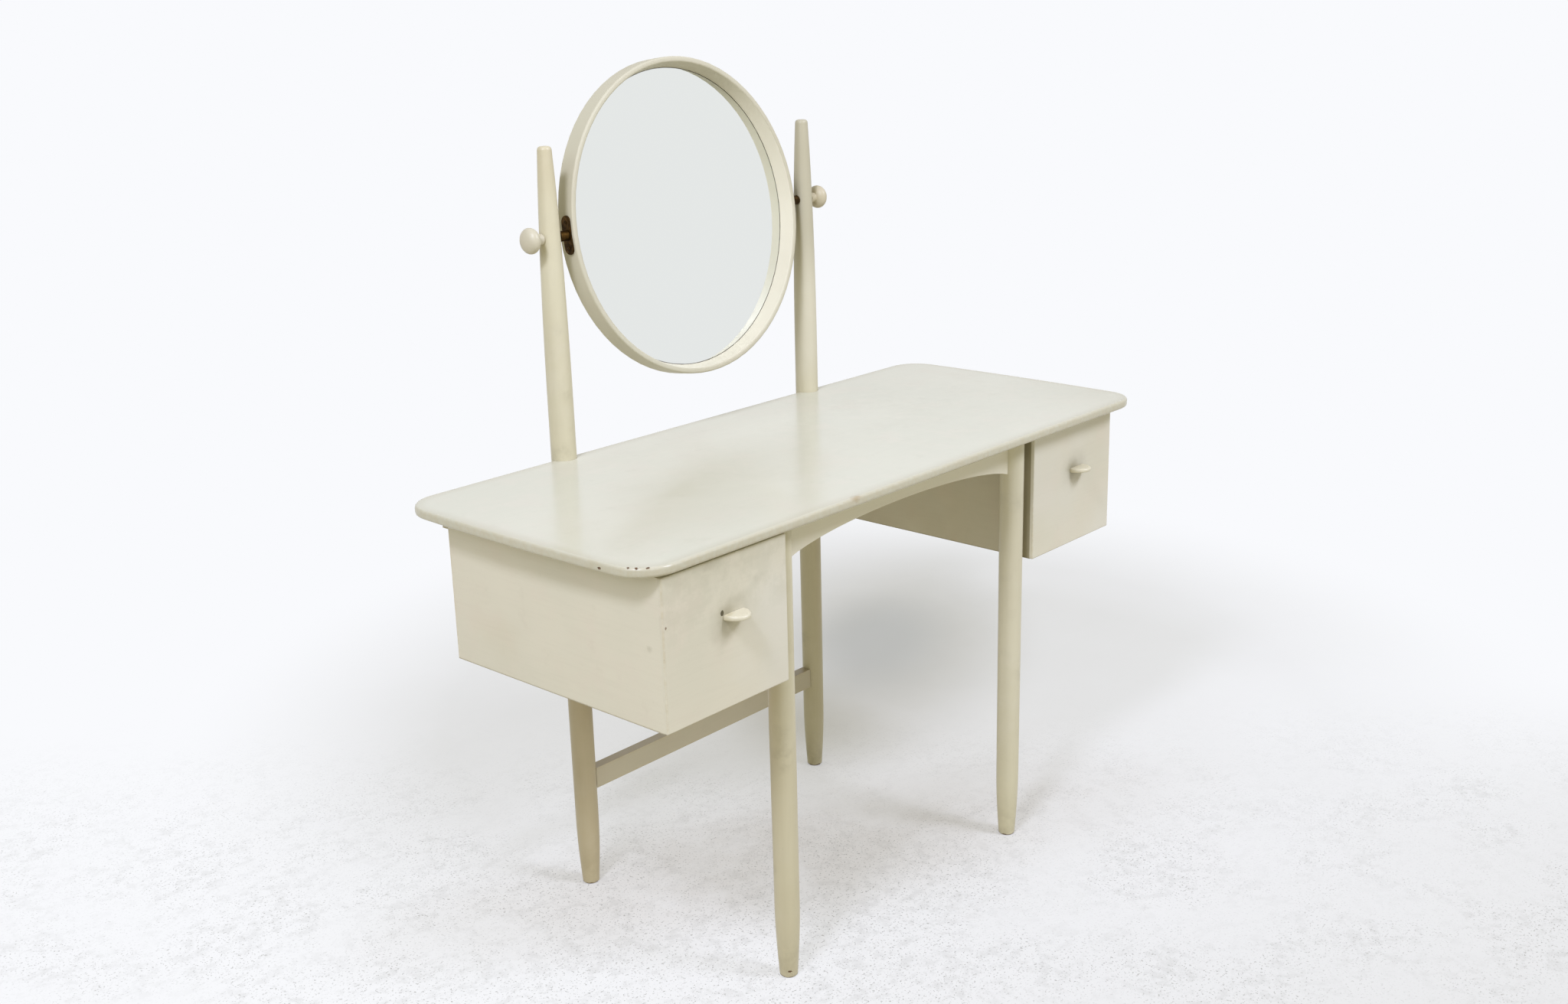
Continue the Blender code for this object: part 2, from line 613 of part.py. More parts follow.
def hoop_profile():
    """Section of the hoop: outer wall, rebate for the glass, and an inner wall that opens forwards."""
    front = HOOP_FRONT
    rear = -HOOP_REAR
    rim = HOOP_RIM_ROUND
    inner_rim = HOOP_RADIUS - HOOP_RIM
    points = arc((HOOP_RADIUS - rim, front - rim), rim, 90.0, 0.0, 3)
    points += arc((HOOP_RADIUS - HOOP_REAR_ROUND, rear + HOOP_REAR_ROUND), HOOP_REAR_ROUND, 0.0, -90.0, 2)
    points += [(HOOP_RADIUS - HOOP_REBATE_WALL, rear), (HOOP_RADIUS - HOOP_REBATE_WALL, -GLASS_SETBACK)]
    points += [(HOOP_RADIUS - HOOP_LIP, -GLASS_SETBACK)]
    points += arc((inner_rim + rim, front - rim), rim, 180.0, 90.0, 3)
    return points


def disc_profile(radius, front, rear):
    return [(0.0, front), (radius, front), (radius, rear), (0.0, rear)]


def add_mirror():
    facing = (0.5 * math.pi, 0.0, 0.0)
    hoop = add_part("mirror_hoop", turned_mesh("mirror_hoop", hoop_profile(), closed=True), PAINT)
    place(turn(hoop, HOOP_STEPS), MIRROR, rotation=facing)
    seat_radius = HOOP_RADIUS - HOOP_REBATE_WALL - FIT_GAP
    glass_front = -GLASS_SETBACK - FIT_GAP
    glass_rear = glass_front - GLASS_THICKNESS
    discs = (
        ("mirror_glass", glass_front, glass_rear, SILVERED),
        ("mirror_backing", glass_rear - FIT_GAP, glass_rear - FIT_GAP - BACKING_THICKNESS, HARDBOARD),
    )
    for name, front, rear, finish in discs:
        disc = add_part(name, turned_mesh(name, disc_profile(seat_radius, front, rear)), finish)
        place(turn(disc, HOOP_STEPS), MIRROR, rotation=facing)


def add_pivot_plate(side, word):
    """An oblong plate bent to the hoop: an oblong prism where it meets a thin ring."""
    name = f"{word}_pivot_plate"
    half = 0.5 * PLATE_WIDTH
    straight = 0.5 * PLATE_LENGTH - half
    points = arc((straight, 0.0), half, -90.0, 90.0) + arc((-straight, 0.0), half, 90.0, 270.0)
    plate = add_part(name, outline_mesh(name, points, HOOP_RADIUS), BRASS)
    place(plate, MIRROR, (side * HOOP_RADIUS, 0.0, 0.0), (0.0, 0.5 * math.pi, 0.0))
    section = [(PLATE_OUTER_RADIUS, PLATE_WIDTH), (PLATE_OUTER_RADIUS, -PLATE_WIDTH),
               (PLATE_INNER_RADIUS, -PLATE_WIDTH), (PLATE_INNER_RADIUS, PLATE_WIDTH)]
    ring = turned_mesh(f"{name}_ring", section, closed=True)
    tool = turn(add_cutter(ring.name, ring, MIRROR, (0.0, 0.0, 0.0), (0.5 * math.pi, 0.0, 0.0)), HOOP_STEPS)
    combine(plate, tool, "INTERSECT")


def add_pivot_stud(side, word):
    """A boss against the plate and a shank through the post into the knob."""
    shank_end = KNOB_FACE_X - BOSS_BASE_X + SHANK_IN_KNOB
    profile = [(0.0, shank_end), (SHANK_RADIUS, shank_end), (SHANK_RADIUS, BOSS_LENGTH),
               (BOSS_RADIUS, BOSS_LENGTH), (BOSS_RADIUS, 0.0), (0.0, 0.0)]
    stud = add_part(f"{word}_pivot_stud", turned_mesh(f"{word}_pivot_stud", profile), BRASS)
    place(turn(stud), MIRROR, (side * BOSS_BASE_X, 0.0, 0.0), (0.0, side * 0.5 * math.pi, 0.0))
    bore = rod_mesh(f"{word}_pivot_bore", SHANK_RADIUS + PIVOT_BORE_GAP, 4.0 * LEG_RADIUS)
    tool = add_cutter(bore.name, bore, TABLE, (side * LEG_HALF_SPACING, LEG_DEPTH_SPACING, PIVOT_HEIGHT),
                      (0.0, 0.5 * math.pi, 0.0))
    combine(LEGS[f"rear_{word}_post"], tool)


def knob_profile():
    """A flattened ball on a short neck, with a blind bore for the shank."""
    half = 0.5 * KNOB_HEAD_THICKNESS
    neck_angle = math.acos(KNOB_NECK_RADIUS / KNOB_RADIUS)
    middle = KNOB_NECK_LENGTH + half * math.sin(neck_angle)
    points = []
    steps = 2 * ARC_STEPS
    for index in range(steps + 1):
        angle = 0.5 * math.pi - (0.5 * math.pi + neck_angle) * index / steps
        radius = KNOB_RADIUS * math.cos(angle) if index else 0.0
        points.append((radius, middle + half * math.sin(angle)))
    bore = SHANK_RADIUS + PIVOT_BORE_GAP
    bore_end = SHANK_IN_KNOB + KNOB_BORE_SPARE
    points += [(KNOB_NECK_RADIUS, 0.0), (bore, 0.0), (bore, bore_end), (0.0, bore_end)]
    return points


def add_knob(side, word):
    name = f"{word}_clamp_knob"
    knob = add_part(name, turned_mesh(name, knob_profile()), PAINT)
    place(turn(knob), MIRROR, (side * KNOB_FACE_X, 0.0, 0.0), (0.0, side * 0.5 * math.pi, 0.0))


add_top()
add_front_apron()
add_cross_board("rear_apron", TOP_REAR_Y - REAR_APRON_INSET, CARRIED_TOP - REAR_APRON_DEPTH, CARRIED_TOP)
add_cross_board("rear_stretcher", LEG_DEPTH_SPACING + 0.5 * RAIL_THICKNESS, STRETCHER_FLOOR_GAP,
                STRETCHER_FLOOR_GAP + STRETCHER_HEIGHT)
add_drawer("left", -1, LEFT_DRAWER)
add_drawer("right", 1, RIGHT_DRAWER)
add_mirror()
for SIDE, WORD in ((-1, "left"), (1, "right")):
    add_side_rail(SIDE, WORD)
    add_pivot_plate(SIDE, WORD)
    add_pivot_stud(SIDE, WORD)
    add_knob(SIDE, WORD)
bpy.context.view_layer.update()
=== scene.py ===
"""Looks of the dressing table: finishes, small fittings, floor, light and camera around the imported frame."""
import math

import bmesh
import bpy
from mathutils import Matrix, Vector

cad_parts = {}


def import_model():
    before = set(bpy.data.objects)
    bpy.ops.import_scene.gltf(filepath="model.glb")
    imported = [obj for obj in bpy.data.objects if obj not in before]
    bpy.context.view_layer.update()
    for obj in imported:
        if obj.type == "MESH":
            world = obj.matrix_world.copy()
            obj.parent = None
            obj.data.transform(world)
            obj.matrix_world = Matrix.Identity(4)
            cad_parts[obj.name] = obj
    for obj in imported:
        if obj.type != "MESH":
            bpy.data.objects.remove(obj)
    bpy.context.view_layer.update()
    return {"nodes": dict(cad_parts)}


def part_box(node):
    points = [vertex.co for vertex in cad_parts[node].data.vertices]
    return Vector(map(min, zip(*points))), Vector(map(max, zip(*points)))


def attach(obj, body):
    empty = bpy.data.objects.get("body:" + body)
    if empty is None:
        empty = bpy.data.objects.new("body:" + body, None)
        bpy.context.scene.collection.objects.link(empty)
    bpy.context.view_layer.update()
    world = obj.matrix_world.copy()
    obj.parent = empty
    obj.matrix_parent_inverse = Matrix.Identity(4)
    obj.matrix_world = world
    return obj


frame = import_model()
NODES = frame["nodes"]
MM = 0.001
SIDES = {"left": -1, "right": 1}


def srgb(red, green, blue):
    """Linear RGBA of a colour given in 0 to 255 screen values."""
    linear = [((v / 255 + 0.055) / 1.055) ** 2.4 if v > 10 else v / 3294.6 for v in (red, green, blue)]
    return (*linear, 1.0)


class Nodes:
    """Short ways to add nodes to the tree of a material or the world."""

    def __init__(self, tree):
        self.tree = tree

    def add(self, kind, inputs=None, **settings):
        """A new node, with links or plain values for its inputs."""
        node = self.tree.nodes.new("ShaderNode" + kind)
        for key, value in settings.items():
            setattr(node, key, value)
        for socket, value in (inputs or {}).items():
            self.put(node.inputs[socket], value)
        return node

    def put(self, socket, value):
        """Links a socket to an output, or sets its plain value."""
        if isinstance(value, bpy.types.NodeSocket):
            self.tree.links.new(value, socket)
        else:
            socket.default_value = value

    def math(self, operation, first, second=0.0, clamp=False):
        node = self.add("Math", {0: first, 1: second}, operation=operation, use_clamp=clamp)
        return node.outputs[0]

    def either(self, *masks):
        """The greatest of some masks."""
        result = masks[0]
        for mask in masks[1:]:
            result = self.math("MAXIMUM", result, mask)
        return result

    def both(self, *masks):
        """The product of some masks or factors."""
        result = masks[0]
        for mask in masks[1:]:
            result = self.math("MULTIPLY", result, mask)
        return result

    def seen(self):
        """1 for what is seen directly, in a reflection or through glass, 0 for what only sends light."""
        path = self.add("LightPath").outputs
        shown = self.either(path["Is Camera Ray"], path["Is Glossy Ray"], path["Is Transmission Ray"])
        return self.both(shown, self.math("LESS_THAN", path["Diffuse Depth"], 0.5))


class Finish(Nodes):
    """One procedural material. Lengths are metres of the table's frame."""

    def __init__(self, name, **uniform):
        self.material = bpy.data.materials.new(name)
        self.material.use_nodes = True
        super().__init__(self.material.node_tree)
        self.shader = self.tree.nodes["Principled BSDF"]
        self.surface(**uniform)
        coordinates = self.add("TexCoord")
        self.place = coordinates.outputs["Object"]
        self.normal = coordinates.outputs["Normal"]
        self.axes = {}

    def surface(self, **sockets):
        """Inputs of the main shader, with _ for the spaces in their names."""
        for socket, value in sockets.items():
            self.put(self.shader.inputs[socket.replace("_", " ")], value)

    def vector(self, operation, first, second=(0, 0, 0)):
        return self.add("VectorMath", {0: first, 1: second}, operation=operation).outputs

    def axis(self, letter, of=None):
        """X, Y or Z of the place, or of another vector."""
        source = of or self.place
        if source not in self.axes:
            self.axes[source] = self.add("SeparateXYZ", {0: source})
        return self.axes[source].outputs[letter]

    def fade(self, value, start, end):
        """A smooth step from 0 at start to 1 at end; start may be the greater of the two."""
        node = self.add("MapRange", {"Value": value, "From Min": start, "From Max": end},
                        interpolation_type="SMOOTHSTEP")
        return node.outputs["Result"]

    def level(self, value, low, high):
        """A 0 to 1 value carried to the range low to high."""
        node = self.add("MapRange", {"Value": value, "To Min": low, "To Max": high})
        return node.outputs["Result"]

    def noise(self, scale, stretch=(1, 1, 1), detail=2.0, rough=0.5, seed=0.0):
        """Noise of about 0.2 to 0.8, with features of about 1/scale metres."""
        mapping = self.add("Mapping", {"Vector": self.place, "Scale": [scale * s for s in stretch],
                                       "Location": (seed * 1.7, seed * 0.9, seed * 2.3)})
        node = self.add("TexNoise", {"Vector": mapping.outputs[0], "Scale": 1.0, "Detail": detail,
                                     "Roughness": rough})
        return node.outputs[0]

    def wander(self, noise, width):
        """Noise carried to a range about as wide as width, round 0."""
        return self.math("MULTIPLY", self.math("SUBTRACT", noise, 0.5), width)

    def mix(self, share, first, second):
        node = self.add("Mix", {0: share, 6: first, 7: second}, data_type="RGBA")
        return node.outputs[2]

    def tint(self, colour, mask, strength, tone):
        """A colour with a tone laid over it where the mask shows."""
        return self.mix(self.math("MULTIPLY", mask, strength), colour, tone)

    def bump(self, *heights):
        """Normal from (height, size in metres) pairs."""
        normal = None
        for height, size in heights:
            node = self.add("Bump", {"Height": height, "Distance": size})
            if normal is not None:
                self.put(node.inputs["Normal"], normal)
            normal = node.outputs[0]
        return normal

    def gap(self, letter, low, high):
        """Distance from the nearer of two planes across one axis."""
        value = self.axis(letter)
        return self.math("MINIMUM", self.math("ABSOLUTE", self.math("SUBTRACT", value, low)),
                         self.math("ABSOLUTE", self.math("SUBTRACT", value, high)))

    def edges(self, low, high, reach):
        """1 along the edges of a box, 0 from reach inwards."""
        a, b, c = (self.gap(letter, low[i], high[i]) for i, letter in enumerate("XYZ"))
        middle = self.math("MAXIMUM", self.math("MINIMUM", a, b),
                           self.math("MINIMUM", self.math("MAXIMUM", a, b), c))
        return self.fade(middle, reach, 0.0)

    def reach(self, centre, stretch=(1, 1, 1)):
        """Distance from a place, with each axis shortened by its stretch."""
        shifted = self.vector("SUBTRACT", self.place, centre)[0]
        scaled = self.vector("MULTIPLY", shifted, [1 / s for s in stretch])[0]
        return self.vector("LENGTH", scaled)["Value"]

    def spot(self, centre, radius, stretch, ragged, seed):
        """1 inside a ragged spot, 0 outside it."""
        rough = self.wander(self.noise(1.4 / radius, detail=3, seed=seed), 2 * ragged * radius)
        return self.fade(self.math("ADD", self.reach(centre, stretch), rough), radius, radius * 0.72)

    def glow(self, centre, radius, stretch, uneven, seed):
        """1 at a place, fading out softly and a little unevenly."""
        rough = self.wander(self.noise(1.6 / radius, detail=3, seed=seed), 2 * uneven * radius)
        return self.fade(self.math("ADD", self.reach(centre, stretch), rough), radius, 0.0)


# Tones of the old cream paint: two that take turns over a piece, and a third in clouds.
DRAWER_TONES = (srgb(229, 223, 204), srgb(224, 219, 200), srgb(229, 220, 203))
# Lighter copy of the cream paint for the front apron: painted light.
APRON_LIT_TONES = (srgb(240, 235, 216), srgb(236, 231, 213), srgb(240, 233, 216))
# Darker copy of the cream paint for the rails, stretcher and bearers under the top: painted shade.
RAIL_SHADED_TONES = (srgb(208, 200, 176), srgb(203, 194, 169), srgb(208, 198, 175))
LEG_TONES = (srgb(219, 212, 183), srgb(213, 205, 175), srgb(220, 213, 188))
TOP_TONES = (srgb(220, 218, 201), srgb(216, 215, 198), srgb(220, 215, 200))
HOOP_TONES = (srgb(211, 206, 184), srgb(205, 199, 176), srgb(211, 204, 183))
PULL_TONES = (srgb(225, 219, 197), srgb(219, 212, 187), srgb(225, 217, 196))
KNOB_TONES = (srgb(210, 203, 180), srgb(204, 195, 169), srgb(211, 202, 181))

# Tones of wear, dirt and patches in the paint, and of painted shade and light.
WORN_WOOD, WORN_WOOD_DARK = srgb(118, 88, 56), srgb(72, 50, 30)
GRIME = srgb(150, 142, 112)
# Soil round the pulls, and painted shade along the drawers' lower edges and on their inner sides.
SOIL_AND_SHADE = srgb(126, 117, 82)
# Painted shade for the legs below the drawers.
LEG_LOW_SHADE, REAR_LEG_LOW_SHADE = srgb(150, 126, 82), srgb(152, 120, 62)
# Painted shade for the drawers' inner sides under the top.
INNER_SIDE_SHADE = srgb(138, 114, 30)
RUBBED_THIN = srgb(196, 178, 134)
HOLE = srgb(34, 26, 16)
# Cooler paint tone; on the left drawer's front it is a painted reflection.
COOL_TONE_AND_SHEEN = srgb(231, 228, 217)
MOTTLE = srgb(168, 168, 140)
POST_TONE, POST_END_TONE = srgb(224, 218, 197), srgb(196, 170, 120)
# TOP_SHADE_TONE is painted shade on the table top.
TOP_SHADE_TONE, TOP_NOTCH_TONE = srgb(194, 188, 164), srgb(170, 146, 108)
# Painted light for the hoop's bore.
HOOP_INSIDE_LIT = srgb(240, 234, 213)
STRETCHER_DUST_AND_SHADE = srgb(142, 124, 90)
PULL_ROOT_TONE = srgb(180, 163, 104)

# How strongly each layer of the paint shows, how high it stands, and how much rougher it is.
CLOUD_TINT, BRUSH_TINT, SMUDGE_TINT, SPECK_TINT, SOIL_TINT, RUB_TINT = 0.6, 0.03, 0.06, 0.25, 0.30, 0.34
BRUSH_HEIGHT, PEEL_HEIGHT, CHIP_DEPTH = 0.05 * MM, 0.035 * MM, 0.25 * MM
CHIP_ROUGHER, BARE_ROUGHER = 0.35, 0.2
CHIP_REACH, CHIP_LEVEL, CHIP_BLEND = 2.0 * MM, 0.76, 0.03
BARE_BLEND = 0.15 * MM

WOOD_LIGHT, WOOD_DARK = srgb(214, 182, 138), srgb(188, 150, 104)
WOOD_PORES, WOOD_STAIN = srgb(96, 66, 40), srgb(150, 118, 82)
WOOD_ROUGHNESS = (0.5, 0.68)
GRAIN = {"X": (0.06, 1, 1), "Y": (1, 0.06, 1), "Z": (1, 1, 0.06)}  # draws noise out along one axis
FIBRE_DRAW, RINGS = 0.6, 9.0


def grained(f, grain, seed):
    """Colour of planed wood with its grain along one axis, with the heights of its fibre and pores."""
    slope = [FIBRE_DRAW * s if s < 1 else 1 for s in GRAIN[grain]]
    figure = f.noise(34, stretch=slope, detail=3, rough=0.55, seed=seed)
    rings = f.math("PINGPONG", f.math("MULTIPLY", figure, RINGS), 0.5)
    fibre = f.noise(1100, stretch=slope, detail=3, rough=0.6, seed=seed + 4)
    pores = f.fade(f.noise(1500, stretch=slope, detail=1, seed=seed + 8), 0.66, 0.74)
    stain = f.fade(f.noise(9, detail=4, seed=seed + 2), 0.5, 0.75)
    colour = f.mix(f.fade(rings, 0.12, 0.5), WOOD_LIGHT, WOOD_DARK)
    colour = f.tint(colour, f.fade(fibre, 0.35, 0.7), 0.35, WOOD_DARK)
    colour = f.tint(colour, pores, 0.4, WOOD_PORES)
    return f.tint(colour, stain, 0.22, WOOD_STAIN), fibre, pores


def paint(name, tones, grain, seed, rubbed=None, chipped=None, soiled=None, marks=(), bare=None,
          gloss=(0.30, 0.45), relief=1.0):
    """Old brushed gloss paint. rubbed, chipped, soiled and bare take the finish and return where each shows;
    marks are (mask, colour, strength), each mask made the same way."""
    f = Finish(name)
    broad = f.noise(4.2, detail=3, seed=seed)
    cloud = f.noise(17, detail=4, rough=0.6, seed=seed + 3)
    brush = f.noise(240, stretch=GRAIN[grain], detail=4, rough=0.6, seed=seed + 5)
    peel = f.noise(310, detail=2, seed=seed + 7)
    smudge = f.fade(f.noise(26, detail=5, rough=0.62, seed=seed + 9), 0.58, 0.74)
    specks = f.fade(f.noise(520, detail=1, seed=seed + 11), 0.77, 0.80)
    colour = f.mix(f.fade(broad, 0.36, 0.64), tones[0], tones[1])
    colour = f.tint(colour, f.fade(cloud, 0.44, 0.72), CLOUD_TINT, tones[2])
    colour = f.tint(colour, f.fade(brush, 0.42, 0.70), BRUSH_TINT * relief, GRIME)
    colour = f.tint(colour, smudge, SMUDGE_TINT, GRIME)
    colour = f.tint(colour, specks, SPECK_TINT, GRIME)
    if soiled is not None:
        film = f.both(soiled(f), f.fade(f.noise(46, detail=5, rough=0.65, seed=seed + 13), 0.30, 0.66))
        colour = f.tint(colour, film, SOIL_TINT, GRIME)
    if rubbed is not None:
        thin = f.both(rubbed(f), f.fade(f.noise(140, detail=4, seed=seed + 17), 0.30, 0.66))
        colour = f.tint(colour, thin, RUB_TINT, RUBBED_THIN)
    for mask, tone, strength in marks:
        colour = f.tint(colour, mask(f), strength, tone)
    rough = f.level(f.fade(cloud, 0.3, 0.7), *gloss)
    heights = [(brush, BRUSH_HEIGHT * relief), (peel, PEEL_HEIGHT * relief)]
    if chipped is not None:
        missing = chipped(f)
        colour = f.mix(missing, colour, f.mix(f.noise(900, detail=2), WORN_WOOD, WORN_WOOD_DARK))
        rough = f.math("ADD", rough, f.math("MULTIPLY", missing, CHIP_ROUGHER), clamp=True)
        heights.append((f.math("SUBTRACT", 1.0, missing), CHIP_DEPTH))
    if bare is not None:
        inside = bare(f)
        colour = f.mix(inside, colour, grained(f, grain, seed + 19)[0])
        rough = f.math("ADD", rough, f.math("MULTIPLY", inside, BARE_ROUGHER), clamp=True)
    f.surface(Base_Color=colour, Roughness=rough, Normal=f.bump(*heights))
    return f.material


def wood(name, grain, seed):
    """Bare planed wood."""
    f = Finish(name)
    colour, fibre, pores = grained(f, grain, seed)
    f.surface(Base_Color=colour, Roughness=f.level(f.fade(fibre, 0.3, 0.7), *WOOD_ROUGHNESS),
              Normal=f.bump((fibre, 0.05 * MM), (pores, -0.06 * MM)))
    return f.material


BRASS, BRASS_PATINA, BRASS_DIRT = srgb(84, 60, 25), srgb(50, 36, 15), srgb(38, 25, 12)
STEEL_CLEAN, STEEL_RUST = srgb(142, 138, 130), srgb(92, 66, 46)


def tarnished_brass(name, seed):
    f = Finish(name, Metallic=1.0)
    patina = f.fade(f.noise(95, detail=5, rough=0.65, seed=seed), 0.36, 0.66)
    fine = f.noise(900, detail=3, seed=seed + 3)
    colour = f.mix(patina, BRASS, BRASS_PATINA)
    colour = f.tint(colour, f.fade(fine, 0.5, 0.75), 0.5, BRASS_DIRT)
    rough = f.math("ADD", f.level(patina, 0.36, 0.58), f.math("MULTIPLY", fine, 0.1))
    f.surface(Base_Color=colour, Roughness=rough, Normal=f.bump((fine, 0.05 * MM), (patina, 0.03 * MM)))
    return f.material


def rusty_steel(name):
    f = Finish(name, Metallic=1.0)
    rust = f.fade(f.noise(420, detail=5, rough=0.7), 0.48, 0.66)
    f.surface(Base_Color=f.mix(rust, STEEL_CLEAN, STEEL_RUST), Roughness=f.level(rust, 0.32, 0.72),
              Normal=f.bump((f.noise(1600, detail=3), 0.04 * MM)))
    return f.material


# Mirror: centre of the pivot, the direction the glass faces, and the way up along it.
PIVOT = Vector((0.0, 0.227016, 1.054))
LEAN = math.radians(7.2)
FACING = Vector((0.0, -math.cos(LEAN), math.sin(LEAN)))
RISE = Vector((0.0, math.sin(LEAN), math.cos(LEAN)))
SILVER, RIM_DARK = srgb(234, 236, 232), srgb(74, 64, 44)
SILVER_RIM, RIM_WANDER = (231.7 * MM, 232.7 * MM), 1.0 * MM
BOARD_LIGHT, BOARD_DARK = srgb(150, 112, 72), srgb(122, 88, 54)
BOARD_WEAVE, BOARD_FLUFF, WEAVE_PER_METRE = srgb(96, 66, 40), srgb(176, 140, 98), 620.0


def silvered_glass(name):
    """Slightly hazy mirror glass, dark in a thin ring along its rim."""
    f = Finish(name, Metallic=1.0)
    wander = f.wander(f.noise(70, detail=5, rough=0.65), RIM_WANDER)
    rim = f.fade(f.math("ADD", f.reach(PIVOT), wander), *SILVER_RIM)
    haze = f.fade(f.noise(11, stretch=(1, 1, 0.5), detail=5, rough=0.6, seed=4), 0.42, 0.74)
    rough = f.math("ADD", f.level(haze, 0.012, 0.035), f.math("MULTIPLY", rim, 0.3))
    f.surface(Base_Color=f.tint(SILVER, rim, 0.85, RIM_DARK), Roughness=rough)
    return f.material


def hardboard(name):
    """Pressed board with the weave of its screen on the back."""
    f = Finish(name)
    cells = [f.math("PINGPONG", f.math("MULTIPLY", f.axis(letter), WEAVE_PER_METRE), 0.5) for letter in "XZ"]
    weave = f.both(*[f.fade(cell, 0.08, 0.42) for cell in cells])
    blotch = f.fade(f.noise(13, detail=5, rough=0.6), 0.34, 0.68)
    fluff = f.noise(800, detail=4, rough=0.7)
    colour = f.mix(blotch, BOARD_LIGHT, BOARD_DARK)
    colour = f.tint(colour, weave, 0.3, BOARD_WEAVE)
    colour = f.tint(colour, f.fade(fluff, 0.45, 0.75), 0.35, BOARD_FLUFF)
    f.surface(Base_Color=colour, Roughness=f.level(fluff, 0.72, 0.9),
              Normal=f.bump((weave, -0.12 * MM), (fluff, 0.06 * MM)))
    return f.material


WELD_GAP, BEVEL_SEGMENTS = 0.005 * MM, 3
BEVEL_ANGLE, SMOOTH_ANGLE = math.radians(40), math.radians(38)


def smooth_group(limit):
    """Geometry nodes that shade smooth wherever faces meet below the limit angle."""
    group = bpy.data.node_groups.new("smooth_by_angle", "GeometryNodeTree")
    group.interface.new_socket("Geometry", in_out="INPUT", socket_type="NodeSocketGeometry")
    group.interface.new_socket("Geometry", in_out="OUTPUT", socket_type="NodeSocketGeometry")
    new, link = group.nodes.new, group.links.new
    begin, end = new("NodeGroupInput"), new("NodeGroupOutput")
    faces, edges = new("GeometryNodeSetShadeSmooth"), new("GeometryNodeSetShadeSmooth")
    faces.domain, edges.domain = "FACE", "EDGE"
    angle, compare = new("GeometryNodeInputMeshEdgeAngle"), new("FunctionNodeCompare")
    compare.data_type, compare.operation = "FLOAT", "LESS_EQUAL"
    compare.inputs[1].default_value = limit
    link(angle.outputs[0], compare.inputs[0])
    link(compare.outputs[0], edges.inputs["Shade Smooth"])
    link(begin.outputs[0], faces.inputs["Geometry"])
    link(faces.outputs[0], edges.inputs["Geometry"])
    link(edges.outputs[0], end.inputs[0])
    return group


SMOOTH = smooth_group(SMOOTH_ANGLE)


def soften(obj, width=0.0):
    """Rounds an object's sharp edges with modifiers and shades its curved faces smooth."""
    obj.modifiers.new("weld", "WELD").merge_threshold = WELD_GAP
    if width:
        bevel = obj.modifiers.new("soft_edges", "BEVEL")
        bevel.width, bevel.segments = width, BEVEL_SEGMENTS
        bevel.limit_method, bevel.angle_limit = "ANGLE", BEVEL_ANGLE
        bevel.use_clamp_overlap = True
    obj.modifiers.new("smooth", "NODES").node_group = SMOOTH
    obj.modifiers.new("even_normals", "WEIGHTED_NORMAL").keep_sharp = True


def dress(node, material, width=0.0):
    """Gives a CAD node its material, and edges rounded to a width."""
    obj = NODES[node]
    obj.data.materials.clear()
    obj.data.materials.append(material)
    soften(obj, width)


def mesh_of(name, bm):
    mesh = bpy.data.meshes.new(name)
    bm.to_mesh(mesh)
    bm.free()
    return mesh


def placed(name, data):
    """New object of the scene for a mesh, lamp or camera."""
    obj = bpy.data.objects.new(name, data)
    bpy.context.scene.collection.objects.link(obj)
    return obj


def mesh_piece(name, bm, material, body):
    """New piece that rides on a body."""
    bmesh.ops.recalc_face_normals(bm, faces=bm.faces)
    mesh = mesh_of(name, bm)
    mesh.materials.append(material)
    obj = placed(name, mesh)
    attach(obj, body)
    return obj


# Masks: each of these returns a function that takes a finish and says where something shows on it.
def edge_chips(low, high, seed):
    """Small breaks in the paint along a board's edges."""
    def mask(f):
        breaks = f.fade(f.noise(150, detail=4, seed=seed), CHIP_LEVEL, CHIP_LEVEL + CHIP_BLEND)
        return f.both(f.edges(low, high, CHIP_REACH), breaks)
    return mask


def edge_rub(low, high, reach=5 * MM):
    """Paint worn thin along a board's edges."""
    return lambda f: f.edges(low, high, reach)


def beyond(letter, plane, sign):
    """1 on one side of a plane across an axis."""
    return lambda f: f.fade(f.axis(letter), plane - sign * BARE_BLEND, plane + sign * BARE_BLEND)


def along(letter, start, end):
    """Fades from 0 at start to 1 at end of an axis."""
    return lambda f: f.fade(f.axis(letter), start, end)


def patchy(scale, seed, start, end):
    """Broad uneven patches."""
    return lambda f: f.fade(f.noise(scale, detail=3, seed=seed), start, end)


def spot_mark(centre, size, stretch, ragged, seed):
    return lambda f: f.spot(centre, size, stretch, ragged, seed)


def glow_mark(centre, size, stretch, seed, uneven=0.6):
    return lambda f: f.glow(centre, size, stretch, uneven, seed)


# Table top: its outline, the painted shade along its edge and in broad patches, a notch in its front edge, and
# the chips of its front left corner.
TOP_HEIGHT, TOP_MIDDLE_Y, TOP_HALF_X, TOP_HALF_Y = 0.72, -0.01515, 0.587, 0.24545
TOP_CORNER, TOP_BORDER = 55 * MM, 24 * MM
TOP_GLOSS, TOP_RELIEF = (0.16, 0.26), 0.6
TOP_SHADE_PATCHES = (  # x, y, radius, stretch, seed, strength
    (0.585, -0.24, 0.24, (1, 1, 1), 4, 0.35),
    (-0.35, -0.12, 0.26, (1.15, 0.8, 1), 6, 0.42),
    (-0.13, 0.01, 0.26, (1.15, 0.8, 1), 8, 0.45))
TOP_NOTCH = ((-0.1763, -0.2594, 0.7180), 9 * MM, (1.6, 1, 1), 2, 0.5)
CORNER, CORNER_ARRIS = Vector((-0.530, -0.2056, 719.1 * MM)), 52.3 * MM
